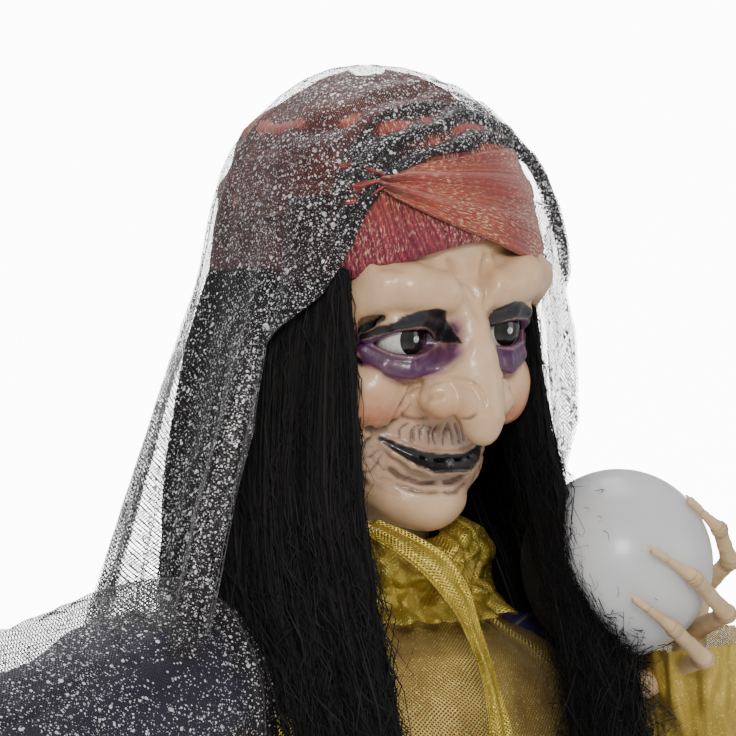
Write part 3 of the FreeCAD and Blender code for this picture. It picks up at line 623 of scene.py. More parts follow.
def wrinkles(p, n):
    """Returns height and how dark each crease is washed in."""
    h = np.zeros(len(p))
    G = lambda *a, **k: groove(p, n, *a, **k)
    soft = np.zeros(len(p))
    # forehead: two frown lines in a V and a soft crease over each brow
    soft += G([(6, 1508), (7.5, 1521), (12, 1534), (15, 1543)], 2.3, 2.6, jitter=2)
    soft += G([(0, 1502), (-1, 1516), (-3, 1530)], 1.4, 2.2, mirror=False, jitter=2)
    soft += G([(16, 1538), (30, 1543), (48, 1543), (64, 1536)], 1.3, 3.0, jitter=2)
    soft += G([(46, 1535), (56, 1537), (68, 1533)], 0.7, 2.0, jitter=2)
    soft += G([(7, 1494), (11, 1486), (15, 1478)], 0.8, 1.6)
    soft += G([(22, 1464), (32, 1458), (36, 1448), (37, 1442)], 2.0, 2.0)
    h += soft
    arc = lambda a0, a1, s: [(s * (19 + 13.0 * math.cos(a)), 1457 + 13.0 * math.sin(a)) for a in np.radians(np.linspace(a0, a1, 12))]
    w_ = G(arc(128, -15, 1), 1.9, 1.2, jitter=0.3, taper=False) + G(arc(200, 120, -1), 1.3, 1.1, jitter=0.3, mirror=False); h += w_
    nostril = G([(31.5, 1451), (27, 1446), (20, 1444.5), (13, 1446.5), (9, 1451)], 0.8, 1.1, jitter=0.3); h += nostril
    g = G([(12, 1484), (22, 1473), (36, 1468), (50, 1472), (60, 1482)], 1.1, 1.5); h += g
    for a in (0, 1, 2):
        h += G([(58, 1494 + a), (65, 1493 + 4 * a), (71, 1493 + 8 * a)], 0.7, 1.2)
    # smile fold and the puckers at the mouth's corner
    f = np.zeros(len(p))
    f += G([(30, 1447), (37, 1440), (46, 1439), (53, 1441)], 1.9, 1.6)
    f += G([(41, 1438), (47, 1428), (46, 1415), (38, 1402)], 1.7, 1.5)
    f += G([(46, 1440), (53, 1428), (51, 1413)], 1.0, 1.5)
    lipc = np.zeros(len(p))
    # upper lip: upright cracks
    for j, x0 in enumerate((2.0, 8.0, 11.8, 17.6, 21.0, 27.8)):
        lipc += G([(x0 * 0.8, 1443 - 0.05 * x0), (x0 + (j % 2) * 0.8, 1435 + 0.10 * x0), (x0 * 1.05, 1427.5 + 0.17 * x0)], 1.3, 0.75, jitter=2.6)
    f += lipc * sstep(-104, -98, p[:, 1])
    # below the lip: crescents, then short upright marks
    f += G([(0, 1406.5), (12, 1407), (24, 1411), (34, 1419)], 1.5, 1.5)
    f += G([(0, 1401), (14, 1402), (27, 1407)], 0.9, 1.3)
    ax, zl = np.abs(p[:, 0]), level(p[:, 2], p[:, 0])
    ld, lt = dist_poly(np.stack([ax, zl], 1), [(0, 1419), (12, 1419.5), (22, 1422.8), (31, 1428.5), (36, 1433)])
    warp = 2.2 * noise3(p, 0.07, 21) + 0.9 * noise3(p, 0.22, 22)
    zone = sstep(6.0, 9.0, ld) * sstep(27, 16, ld) * sstep(1436, 1424, zl) * (p[:, 1] < -40)
    f += -0.75 * zone * np.clip(np.sin(ld * 1.15 + warp * 1.6), 0, 1) ** 3 * (0.55 + 0.9 * noise3(p, 0.10, 23))
    th_ = np.arctan2(zl - 1431, ax - 33)
    fan = sstep(30, 38, ax) * sstep(60, 50, ax) * sstep(1444, 1438, zl) * sstep(1396, 1408, zl)
    f += -0.85 * fan * np.clip(np.sin(th_ * 15 + warp * 1.1), 0, 1) ** 3
    f = f * sstep(4.8, 6.8, ld)
    h += f
    return h, np.clip(-f * 1.0, 0, 1) + np.clip(-soft * 0.14, 0, 0.25) + np.clip(-w_ * 0.30 * sstep(1462, 1450, p[:, 2]), 0, 0.8) + np.clip(-nostril * 1.1, 0, 0.9)


fp, fq, fn_ = sdf_mesh(face_sdf, (-92, -140, 1362), (92, 6, 1572), 1.25)
hw, hdark = wrinkles(fp, fn_)
fp2 = fp + fn_ * (hw + 0.35 * fbm(fp, 0.055, 3, 2.0) + 0.05 * noise3(fp, 0.5, 4.0))[:, None]
bad = (fp[:, 1] > -2) | (fp[:, 2] > 1566) | ((np.hypot(fp[:, 0], fp[:, 1]) < 37.5) & (fp[:, 2] < 1400))
fq, used = drop_faces(fp2, fq, bad)
fp0, fp2, fn_, hw, hdark = fp[used], fp2[used], fn_[used], hw[used], hdark[used]
# the right temple is slimmer, under the hair
wt = sstep(1430, 1450, fp2[:, 2])
fp2[:, 0] = np.where(fp2[:, 0] < -60, fp2[:, 0] * (1 - wt) + wt * (-60 + (fp2[:, 0] + 60) * 0.42), fp2[:, 0])
fq = orient(fp2, fq, fn_)

# paint: base, washes in the creases, blush, purple under the eyes, black lids and lips
X, Y, Z = np.abs(fp0[:, 0]), fp0[:, 1], level(fp0[:, 2], fp0[:, 0])
XZ = np.stack([X, Z], 1)
spot = lambda cx, cz, rx, rz: np.exp(-((X - cx) / rx) ** 2 - ((Z - cz) / rz) ** 2)
lip_d, _ = dist_poly(XZ, [(0, 1418.8), (12, 1419.3), (22, 1422.6), (31, 1428.4), (37, 1433.8)])
lip_w = 5.0 * sstep(44, 12, X) + 0.7
lips = sstep(lip_w + 0.7, lip_w - 0.5, lip_d + 0.5 * noise3(fp0, 0.2)) * (Y < -46)
lid_hi = np.interp(X, [11, 13, 17, 22, 28, 36, 46, 56, 62, 66], [1490, 1501, 1508, 1511, 1512.6, 1512.2, 1508.5, 1503, 1499, 1494]) + 0.5 * noise3(fp0, 0.15, 3)
lid_lo = np.interp(X, [11, 15, 20, 27, 34, 46, 54, 60, 66], [1490, 1491, 1496, 1500, 1501.6, 1500.6, 1498, 1495.5, 1494]) + 0.4 * noise3(fp0, 0.2, 4)
lids = sstep(-0.4, 0.8, np.minimum(lid_hi - Z, Z - lid_lo)) * (Y < -66) * (X > 10)
low_d, _ = dist_poly(XZ, [(15, 1489), (25, 1485), (36, 1483.5), (47, 1486), (56, 1493)])
rim = sstep(1.6, 0.5, np.abs(low_d)) * (Y < -80)
lids = np.maximum(lids, rim * 0.35)
cres_d, cres_t = dist_poly(XZ, [(11, 1488), (20, 1479), (35, 1475.5), (50, 1480), (60, 1492), (63, 1500)])
pur_lo = np.interp(X, [7, 12, 20, 30, 40, 50, 58, 64, 70], [1494, 1484, 1474.5, 1469, 1468, 1472, 1481, 1494, 1502])
purple = sstep(-4.5, 4.5, Z - pur_lo + 1.0 * noise3(fp0, 0.10, 8)) * sstep(1506, 1499, Z) * sstep(8, 17, X) * sstep(69, 63, X) * (Y < -60)
swirl = 0.90 + 0.10 * np.sin((Z - pur_lo) * 1.1 + 1.5 * noise3(fp0, 0.06, 9))
purple = purple * swirl
purple = np.clip(purple, 0, 1) * (1 - lids)
purple = np.clip(purple + 0.35 * spot(12, 1500, 5, 8) * (Y < -85), 0, 1)
blush = np.clip(0.95 * spot(46, 1447, 17, 7.5) + 0.5 * spot(56, 1456, 10, 13) + 0.28 * spot(22, 1449, 9, 5) + 0.20 * spot(4, 1434, 9, 4) * (Y < -112), 0, 1) * (Y < -45)
grey = np.clip(0.95 * spot(10, 1434, 26, 8.5) * sstep(-104, -96, Y) + 0.40 * spot(0, 1406, 32, 5) + 0.46 * spot(16, 1415, 34, 15) * sstep(-108, -100, Y) + 0.45 * spot(43, 1426, 9, 16), 0, 1)
wash = np.clip(hdark, 0, 1)
face_mask = Mat("vinyl_face")
c_w, c_b, c_p, c_g, c_l, c_k = (face_mask.attr(k) for k in ("wash", "blush", "purple", "grey", "lips", "lids"))
o = face_mask.obj()
n1 = face_mask.noise(o, 35.0, 5.0, 0.6)
n2 = face_mask.noise(o, 130.0, 4.0, 0.6)
base = face_mask.mix(face_mask.mapr(n1, 0.25, 0.75), (0.71, 0.435, 0.235), (0.86, 0.595, 0.365))
base = face_mask.mix(face_mask.math("MULTIPLY", c_b, face_mask.mapr(n2, 0.3, 0.65, 0.55, 1.0)), base, (0.62, 0.20, 0.10))
base = face_mask.mix(face_mask.math("MULTIPLY", face_mask.mapr(c_p, 0.02, 0.72), face_mask.mapr(face_mask.noise(o, 45.0, 3.0, 0.6), 0.3, 0.65, 0.90, 0.99)), base, face_mask.mix(face_mask.mapr(c_p, 0.55, 0.95), (0.15, 0.028, 0.12), (0.048, 0.007, 0.068)))
base = face_mask.mix(face_mask.math("MULTIPLY", c_g, 0.8), base, (0.36, 0.235, 0.19))
base = face_mask.mix(face_mask.math("MULTIPLY", c_w, 0.88), base, (0.12, 0.065, 0.055))
base = face_mask.mix(c_l, base, (0.010, 0.009, 0.011))
base = face_mask.mix(c_k, base, (0.012, 0.010, 0.014))
face_mask.set("Base_Color", base)
face_mask.set("Roughness", face_mask.mix(c_l, face_mask.mapr(n2, 0.3, 0.7, 0.30, 0.42), (0.33, 0.33, 0.33)))
face_mask.bsdf.inputs["Subsurface Weight"].default_value = 0.12
face_mask.bsdf.inputs["Subsurface Radius"].default_value = (0.006, 0.003, 0.0015)
face_mask.bsdf.inputs["Subsurface Scale"].default_value = 0.6
face_mask.bsdf.inputs["Coat Weight"].default_value = 0.35
face_mask.bsdf.inputs["Coat Roughness"].default_value = 0.14
face_mask.set("Normal", face_mask.bump(face_mask.math("ADD", face_mask.noise(o, 900.0, 2.0), face_mask.math("MULTIPLY", face_mask.noise(o, 260.0, 4.0), 0.8)), 0.0004, 0.35))
face = mesh_obj("witch_face", fp2 * MM, fq, face_mask.m,
                colors={"wash": wash, "blush": blush, "purple": purple, "grey": grey, "lips": lips, "lids": lids})
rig.ride(face, "head")
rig.replaces(face, "face_mask", "mouth_liner")
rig.slot(face, "skin")

# eyeballs with a ringed iris and a clear lamp lens at the pupil
eye_m = Mat("eyeball", Roughness=0.12)
eo = eye_m.attr("ring", "Fac")
en = eye_m.noise(eye_m.obj(), 500.0, 4.0)
white = eye_m.mix(eye_m.mapr(en, 0.35, 0.7), (0.74, 0.74, 0.70), (0.60, 0.57, 0.53))
col = eye_m.ramp(eo, [(0.0, (0.004, 0.004, 0.005)), (0.32, (0.004, 0.004, 0.005)), (0.37, (0.020, 0.012, 0.008)), (0.50, (0.012, 0.008, 0.006)), (0.56, (0.003, 0.003, 0.004)), (0.60, (1, 1, 1))])
eye_m.set("Base_Color", eye_m.mix(eye_m.mapr(eo, 0.575, 0.60), col, white))
eye_m.bsdf.inputs["Coat Weight"].default_value = 0.35
eye_m.bsdf.inputs["Coat Roughness"].default_value = 0.03
lens_m = Mat("lamp_lens", Base_Color=(0.93, 0.95, 0.97), Roughness=0.05, IOR=1.49)
lens_m.bsdf.inputs["Transmission Weight"].default_value = 0.55
for s, tag in ((1, "left"), (-1, "right")):
    n, m = 40, 64
    th, ph = np.linspace(0.0, 2.0, n), np.linspace(0, 2 * np.pi, m, endpoint=False)
    T, P_ = np.meshgrid(th, ph, indexing="ij")
    look = unit(np.array([0.10 - 0.03 * s, -1.0, -0.10]))
    side = unit(np.cross(look, [0, 0, 1]))
    up = np.cross(side, look)
    R = ER * (1 + 0.0 * T)
    pos = (np.array([s * EX, EY, EZ + s * TILT * EX]) + R[..., None] * (np.cos(T)[..., None] * look + np.sin(T)[..., None] * (np.cos(P_)[..., None] * side + np.sin(P_)[..., None] * up)))
    e = grid_obj("eyeball_" + tag, pos * MM, eye_m.m, closed=True, colors={"ring": np.clip(T / 1.2, 0, 1)})
    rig.ride(e, "head")
    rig.slot(e, "eye_clear")
    if s == 1:
        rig.replaces(e, "eyes")
    th2 = np.linspace(0, 1.5, 10)
    T2, P2 = np.meshgrid(th2, ph[::2], indexing="ij")
    c0 = np.array([s * EX, EY, EZ + s * TILT * EX]) + look * (ER - 1.6)
    pos = c0 + 2.6 * (np.cos(T2)[..., None] * look + np.sin(T2)[..., None] * (np.cos(P2)[..., None] * side + np.sin(P2)[..., None] * up))
    l = grid_obj("lamp_lens_" + tag, pos * MM, lens_m.m, closed=True)
    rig.ride(l, "head")
    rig.slot(l, "led")

# round sound sensor set in the lower lip
ring_m = plain("sensor_ring", (0.03, 0.03, 0.032), 0.3)
grille_m = Mat("sensor_gauze", Roughness=0.6, Metallic=0.6)
gv = grille_m.voronoi(grille_m.obj(), 1600.0)
grille_m.set("Base_Color", grille_m.mix(grille_m.mapr(gv, 0.2, 0.5), (0.015, 0.015, 0.016), (0.22, 0.22, 0.23)))
sc0, sdir = np.array([0, -86.0, 1418.6]), unit(np.array([0, -1.0, -0.05]))
su = np.array([1.0, 0, 0]); sv = np.cross(su, sdir)
prof = [(0.0, -0.2), (1.6, -0.25), (1.8, 0.4), (2.2, 0.8), (2.8, 0.8), (3.3, 0.3), (3.5, -4.0)]
aa = np.linspace(0, 2 * np.pi, 40, endpoint=False)
ringP = np.array([[sc0 + r * (np.cos(t) * su + np.sin(t) * sv) + h * sdir for t in aa] for r, h in prof[2:]])
o1 = grid_obj("sensor_bezel", ringP * MM, ring_m, closed=True)
discP = np.array([[sc0 + r * (np.cos(t) * su + np.sin(t) * sv) + h * sdir for t in aa] for r, h in ((0.01, 0.1), (1.0, 0.1), (1.9, 0.1))])
o2 = grid_obj("sensor_disc", discP * MM, grille_m.m, closed=True)
for o_ in (o1, o2):
    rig.ride(o_, "head")
    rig.slot(o_, "case_plastic")
# ------------------------------------------------------------------ headscarf
def skull_radius(z, phi, grow=0.0):
    """Plan point of the wound head at height z and azimuth phi (0 = face side, + = own left), mm."""
    zs = [1490, 1515, 1535, 1560, 1580, 1600, 1615, 1628, 1638, 1645, 1649]
    w = [84, 87, 88, 86, 83, 77, 69, 57, 42, 26, 8]
    f = [103, 109, 110, 107, 100, 90, 78, 62, 45, 28, 8]
    b = [104, 105, 104, 101, 97, 88.5, 78.5, 65, 49, 32, 10]
    W, F, B = (np.interp(z, zs, v) + grow for v in (w, f, b))
    s, c = np.sin(phi), np.cos(phi)
    W = W - np.where(s < 0, 1, 0) * sstep(0.5, -0.1, c) * np.interp(z, zs, [4, 5.5, 6.5, 7, 7.5, 8, 8, 7, 5, 2, 0])
    e = 2 / 2.35
    x = W * np.sign(s) * np.abs(s) ** e
    y = -np.where(c > 0, F, B) * np.sign(c) * np.abs(c) ** e
    return x, y


def crinkle(t, seed, warp):
    """Sharp irregular pleats across t, 0..1."""
    a = np.abs(((t + 0.35 * warp) * 1.0 + 0.23 * np.sin(t * 2.7 + seed)) % 1.0 - 0.5) * 2
    b = np.abs(((t + 0.5 * warp) * 2.13 + 0.31 * seed) % 1.0 - 0.5) * 2
    return 0.65 * a ** 1.4 + 0.35 * b ** 1.3


scarf_m = Mat("scarf_lame", Metallic=0.55)
o = scarf_m.obj()
rd = scarf_m.attr("ridge", "Fac")
tint = scarf_m.attr("tint", "Fac")
big = scarf_m.noise(o, 22.0, 4.0, 0.6)
fine = scarf_m.noise(scarf_m.uv(), 900.0, 3.0, 0.7)
cor = scarf_m.mix(scarf_m.mapr(big, 0.3, 0.7), (0.36, 0.060, 0.036), (0.52, 0.115, 0.062))
mag = scarf_m.mix(scarf_m.mapr(big, 0.3, 0.7), (0.27, 0.022, 0.062), (0.42, 0.06, 0.075))
cc = scarf_m.mix(tint, cor, mag)
# painted shade: the crinkle's valleys, where the fold height is low, are darkened towards a deep wine colour
cc = scarf_m.mix(scarf_m.mapr(rd, 0.0, 0.7), (0.10, 0.010, 0.030), cc)
# painted glints: bright gold dashes, set by noise and lifted on the fold crests
dash = scarf_m.noise(scarf_m.scale_vec(scarf_m.uv(), (1000.0, 240.0, 1.0)), 1.0, 3.0, 0.65)
gl = scarf_m.mapr(dash, 0.53, 0.64)
gl = scarf_m.math("MULTIPLY", gl, scarf_m.mapr(scarf_m.noise(o, 26.0, 3.0), 0.38, 0.60, 0.15, 1.0))
gl = scarf_m.math("MULTIPLY", gl, scarf_m.mapr(rd, 0.0, 0.6, 0.45, 0.95))
cc = scarf_m.mix(gl, cc, (1.0, 0.80, 0.46))
scarf_m.set("Base_Color", cc)
scarf_m.set("Roughness", scarf_m.mapr(fine, 0.3, 0.7, 0.36, 0.58))
uvs = scarf_m.uv()
weave = scarf_m.math("ADD", scarf_m.math("SINE", scarf_m.math("MULTIPLY", scarf_m.xyz(uvs)[0], 9000.0)), scarf_m.math("SINE", scarf_m.math("MULTIPLY", scarf_m.xyz(uvs)[1], 9000.0)))
scarf_m.set("Normal", scarf_m.bump(scarf_m.math("ADD", scarf_m.math("MULTIPLY", weave, 0.25), fine), 0.0004, 0.5))
scarf_m.bsdf.inputs["Sheen Weight"].default_value = 0.3


def low_edge(phi):
    ph = np.degrees(phi)
    return np.interp(ph, [-180, -120, -85, -60, -47, -25, -8, 8, 25, 44, 65, 90, 130, 180],
                     [1500, 1503, 1512, 1521, 1527, 1537, 1545, 1551, 1546, 1538, 1530, 1518, 1505, 1500])


nz, nphi = 100, 980
ph = np.linspace(-np.pi, np.pi, nphi, endpoint=False)
tt = np.linspace(0, 1, nz)
PH, T = np.meshgrid(ph, tt)
Z = low_edge(PH) + (1648.5 - low_edge(PH)) * (1 - (1 - T) ** 1.15)
slant = PH + 0.0030 * (Z - 1540) + 0.03 * noise3(np.stack([np.cos(PH) * 3, np.sin(PH) * 3, Z * 0.02], -1), 1.0, 3)
pl = crinkle(slant * 150 / (2 * np.pi), 1.0, noise3(np.stack([np.cos(PH) * 9, np.sin(PH) * 9, Z * 0.045], -1), 1.0, 6))
swag = 0.5 + 0.5 * np.sin((Z - 1560) * 0.16 + 2.2 * np.sin(PH - 0.6) + 2 * noise3(np.stack([np.cos(PH), np.sin(PH), Z * 0.01], -1), 1.6, 2))
mix_s = sstep(1566, 1590, Z)
hgt = (1 - mix_s) * (pl * 0.9 + 1.3 * fbm(np.stack([np.cos(PH) * 100, np.sin(PH) * 100, Z * 0.35], -1), 0.05, 3, 4)) + mix_s * (swag ** 1.5 * 4.0 + pl * 0.8)
grow = hgt + 0.6 - 2.0 * np.exp(-((T) / 0.02) ** 2)
x, y = skull_radius(Z, PH, 0)
P = np.stack([x, y, Z], -1)
nrm = unit(np.stack([x / 80 ** 2, y / 100 ** 2, (Z - 1520) / 140 ** 2 * sstep(1530, 1600, Z)], -1))
P = P + nrm * grow[..., None]
# fold height of the crinkle and swags, kept to paint shade in the valleys and glints on the crests
rd_v = np.clip((1 - mix_s) * pl + mix_s * (0.35 * swag + 0.65 * pl), 0, 1)
tint_v = sstep(1575, 1545, Z) * sstep(0.35, -0.05, PH) + 0.25
scarf = grid_obj("headscarf_wrap", P * MM, scarf_m.m, closed=True, colors={"ridge": rd_v, "tint": np.clip(tint_v, 0, 1)})
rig.ride(scarf, "head")
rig.slot(scarf, "scarf")

# the crossing end: gathered at a twist over the right brow, fanning over the left side
nu, nv = 420, 110
U, Vv = np.meshgrid(np.linspace(0, 1, nu), np.linspace(0, 1, nv), indexing="ij")
phi_u = np.radians(np.interp(U, [0, 0.06, 0.16, 0.4, 0.65, 1.0], [-33, -27, -18, 12, 48, 112]))
z_lo = np.interp(U, [0, 0.06, 0.16, 0.4, 0.65, 1.0], [1579, 1573, 1566, 1545, 1527, 1512])
z_hi = np.interp(U, [0, 0.06, 0.16, 0.4, 0.65, 1.0], [1584, 1587, 1592, 1601, 1606, 1600])
Zf = z_lo + (z_hi - z_lo) * Vv
warp = noise3(np.stack([U * 5, Vv * 4, 0 * U], -1), 1.0, 12)
fan = 0.5 * crinkle(Vv * 13 + 1.5 * U, 2.0, warp) + 0.5 * (0.5 + 0.5 * fbm(np.stack([U * 6, Vv * 16, 0 * U], -1), 1.0, 3, 7))
roll = 0.5 + 0.5 * np.cos(Vv * np.pi * 5 + 1.0 + 2.5 * U + 1.2 * warp)
gr = 3.6 + fan * 1.5 * sstep(0, 0.2, U) + roll ** 2 * (1.8 + 5.5 * sstep(0.3, 0.0, U)) + 3.0 * sstep(0.25, 0.0, U) * np.sin(np.pi * Vv)
gr = gr - 3.4 * sstep(0.96, 1.0, Vv) - 1.5 * sstep(0.02, 0.0, Vv) - 6 * sstep(0.015, 0.0, U)
xf, yf = skull_radius(Zf, phi_u, 0)
nrm = unit(np.stack([xf / 80 ** 2, yf / 100 ** 2, (Zf - 1520) / 140 ** 2 * sstep(1530, 1600, Zf)], -1))
Pf = np.stack([xf, yf, Zf], -1) + nrm * gr[..., None]
fan_o = grid_obj("headscarf_cross", Pf * MM, scarf_m.m, colors={"ridge": np.clip(0.25 + 0.75 * fan, 0, 1), "tint": np.clip(0.1 + 0.2 * roll, 0, 1)}, thick=0.0012)
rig.ride(fan_o, "head")
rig.slot(fan_o, "scarf")
# short tuck that runs back from the twist
U2, V2 = np.meshgrid(np.linspace(0, 1, 160), np.linspace(0, 1, 60), indexing="ij")
phi2 = np.radians(np.interp(U2, [0, 0.2, 1], [-30, -40, -100]))
zl = np.interp(U2, [0, 0.2, 1], [1580, 1571, 1560]); zh = np.interp(U2, [0, 0.2, 1], [1585, 1592, 1606])
Z2 = zl + (zh - zl) * V2
roll2 = 0.5 + 0.5 * np.cos(V2 * np.pi * 4 + 3 * U2 + noise3(np.stack([U2 * 4, V2 * 3, 0 * U2 + 5], -1)))
f2 = crinkle(V2 * 16 + U2, 3.0, noise3(np.stack([U2 * 5, V2 * 4, 0 * U2 + 2], -1)))
g2 = 2.6 + f2 * 1.2 + roll2 ** 2 * (1.5 + 5 * sstep(0.35, 0, U2)) - 3 * sstep(0.96, 1.0, V2) - 6 * sstep(0.03, 0.0, U2)
x2, y2 = skull_radius(Z2, phi2, 0)
nrm = unit(np.stack([x2 / 80 ** 2, y2 / 100 ** 2, (Z2 - 1520) / 140 ** 2 * sstep(1530, 1600, Z2)], -1))
t_o = grid_obj("headscarf_tuck", (np.stack([x2, y2, Z2], -1) + nrm * g2[..., None]) * MM, scarf_m.m, colors={"ridge": np.clip(0.2 + 0.8 * f2, 0, 1), "tint": 0.3 + 0 * f2}, thick=0.0012)
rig.ride(t_o, "head")
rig.slot(t_o, "scarf")
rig.replaces(scarf, "headscarf")
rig.sheet(scarf, flat=(0.62, 0.26), held="gathered", rests_on=["head_back_shell"], area=0.12)
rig.sheet(fan_o, flat=(0.27, 0.085), held="gathered", rests_on=["headscarf_wrap"])
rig.sheet(t_o, flat=(0.13, 0.05), held="gathered", rests_on=["headscarf_wrap"])
# ------------------------------------------------------------------ hair
BALL_C, BALL_RR = np.array([130.0, -82.0, 1354.0]), 57.5

hair_m = Mat("hair_fibre")
hv = hair_m.attr("shade", "Fac")
ho = hair_m.obj()
hair_m.set("Base_Color", hair_m.mix(hv, (0.0018, 0.0016, 0.0018), (0.0125, 0.0102, 0.0098)))
hair_m.set("Roughness", hair_m.mapr(hv, 0, 1, 0.58, 0.74))
hair_m.bsdf.inputs["Specular IOR Level"].default_value = 0.24
hair_m.bsdf.inputs["Sheen Weight"].default_value = 0.03


def guide(side, a):
    """Fall of the hair at azimuth a (degrees from the face), for a side (+1 = own left). Six points, mm."""
    A = np.array([36, 55, 75, 100, 130, 160, 180], float)
    rows = np.array([
        # x, y per azimuth at successive heights
        [[57, -86], [73, -66], [82, -34], [85, 8], [74, 58], [38, 92], [0, 101]],          # 1532
        [[62, -84], [78, -66], [90, -32], [95, 12], [84, 66], [44, 102], [0, 112]],        # 1490
        [[64, -82], [80, -64], [92, -32], [99, 14], [90, 70], [48, 108], [0, 120]],        # 1445
        [[63, -84], [83, -68], [97, -38], [104, 10], [98, 68], [55, 112], [0, 126]],       # 1400
        [[58, -92], [82, -82], [104, -58], [116, -12], [104, 62], [58, 114], [0, 128]],    # 1345
        [[58, -104], [80, -102], [104, -84], [118, -46], [104, 72], [56, 118], [0, 132]],  # 1290
        [[56, -126], [78, -122], [100, -104], [114, -70], [98, 88], [54, 128], [0, 138]],  # 1200
        [[55, -133], [76, -126], [94, -106], [104, -74], [90, 94], [50, 132], [0, 142]],   # 1100
        [[55, -130], [72, -122], [88, -100], [96, -66], [82, 96], [46, 134], [0, 146]],    # 1010
    ], float)
    zs = np.array([1532, 1490, 1445, 1400, 1345, 1290, 1200, 1100, 1010], float)
    out = np.empty((len(a), len(zs), 3))
    for k in range(len(zs)):
        out[:, k, 0] = side * np.interp(a, A, rows[k, :, 0])
        out[:, k, 1] = np.interp(a, A, rows[k, :, 1])
        out[:, k, 2] = zs[k]
    if side < 0:      # the right side laps over the brow's outer end
        w = np.exp(-((a - 36) / 13.0) ** 2)
        out[:, 0, 0] -= 13 * w
        out[:, 0, 1] += 5 * w
        out[:, 1, 0] -= 6 * w
    if side > 0:      # own left side swings out in front of the shoulder, towards the ball
        w = np.interp(zs, [1290, 1345, 1400, 1470], [1, 0.9, 0.45, 0]) * np.interp(zs, [1010, 1150, 1290], [0.2, 0.6, 1])
        s = np.interp(a, [36, 60, 90, 125], [0.55, 1.0, 1.0, 0.0])
        out[:, :, 0] += 20 * w[None] * s[:, None]
        out[:, :, 1] += -16 * w[None] * s[:, None]
    return out, zs


def resample(G, zs, t):
    """Smooth curve through guide rows, t in 0..1 per strand row (n, m)."""
    n, k = G.shape[:2]
    L = np.concatenate([[0], np.cumsum(-np.diff(zs))]) / (zs[0] - zs[-1])
    s = np.interp(t, L, np.arange(k))
    i = np.clip(s.astype(int), 0, k - 2)
    f = (s - i)[..., None]
    r = np.arange(n)[:, None]
    g = lambda j: G[r, np.clip(j, 0, k - 1)]
    a, b, c, d = g(i - 1), g(i), g(i + 1), g(i + 2)
    return 0.5 * ((2 * b) + (-a + c) * f + (2 * a - 5 * b + 4 * c - d) * f ** 2 + (-a + 3 * b - 3 * c + d) * f ** 3)


def push_out(P, c, r):
    d = P - c
    L = np.linalg.norm(d, axis=-1, keepdims=True)
    return np.where(L < r, c + d / np.maximum(L, 1e-6) * r, P)


def strands(name, side, a0, a1, count, segs, length=(0.8, 1.0), depth=16.0, w0=0.55, frizz=1.0, lo=0.0, clumps=60, stray=0.06, seed=1, bodyblend=True):
    r = np.random.default_rng(seed)
    ca = np.sort(r.uniform(a0, a1, clumps))
    ci = r.integers(0, clumps, count)
    a = np.clip(ca[ci] + r.normal(0, (a1 - a0) / clumps * 0.9, count), a0, a1)
    dep = r.beta(1.6, 1.2, count)
    cdep = r.uniform(0.2, 1.0, clumps)[ci]
    G, zs = guide(side, a)
    Gc, _ = guide(side, ca[ci])
    t = np.linspace(0, 1, segs + 1)[None] * r.uniform(length[0], length[1], count)[:, None]
    P = resample(G, zs, t)
    Pc = resample(Gc, zs, t)
    pull = 0.55 * sstep(0.15, 0.8, t)[..., None] * r.uniform(0.2, 1, count)[:, None, None]
    P = P * (1 - pull) + Pc * pull
    axis = P.copy(); axis[..., 2] = 0
    out = unit(axis - np.array([0, 4.0, 0]))
    off = (dep * 0.6 + cdep * 0.4 - 0.75) * depth
    P = P + out * (off[:, None, None] * (0.35 + 0.65 * sstep(0, 0.2, t))[..., None])
    ph1 = noise3(np.stack([np.repeat(ca[ci][:, None], segs + 1, 1) * 0.3, t * 5.0, 0 * t + side * 3], -1), 1.0, seed)
    tang = np.stack([-out[..., 1], out[..., 0], 0 * t], -1)
    P = P + tang * (ph1 * 5.5 * sstep(0.05, 0.5, t))[..., None]
    nz = np.stack([noise3(np.stack([np.repeat(np.arange(count)[:, None] * 1.37, segs + 1, 1), t * 30.0, 0 * t + k * 7], -1), 1.0, seed + k) for k in range(3)], -1)
    amp = frizz * (0.5 + 2.2 * sstep(0, 1, t))[..., None] * r.uniform(0.4, 1.6, count)[:, None, None]
    st = (r.random(count) < stray)[:, None, None]
    P = P + nz * amp * np.where(st, 4.0, 1.0) + st * out * (8.0 * t[..., None] * r.uniform(0.2, 1, count)[:, None, None])
    P = push_out(P, BALL_C, BALL_RR + 1.2)
    T = unit(np.gradient(P, axis=1))
    tw = r.uniform(-0.9, 0.9, count)[:, None]
    bn = unit(np.cross(T, out))
    nn = np.cross(bn, T)
    wdir = bn * np.cos(tw)[..., None] + nn * np.sin(tw)[..., None]
    wd = (w0 * r.uniform(0.6, 1.5, count))[:, None] * (1 - 0.65 * sstep(0.75, 1, np.linspace(0, 1, segs + 1)))[None]
    A, B = P - wdir * wd[..., None], P + wdir * wd[..., None]
    V = np.stack([A, B], 2).reshape(-1, 3)
    base = (np.arange(count) * (segs + 1) * 2)[:, None] + (np.arange(segs) * 2)[None]
    F = np.stack([base, base + 1, base + 3, base + 2], -1).reshape(-1, 4)
    sh = np.repeat(np.clip(r.beta(1.3, 2.5, count), 0, 1), (segs + 1) * 2)
    o = mesh_obj(name, V * MM, F, hair_m.m, colors={"shade": sh})
    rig.slot(o, "hair")
    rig.blend(o, "stand", "head", start=(0, 0, 1.315), end=(0, 0, 1.43))
    return o


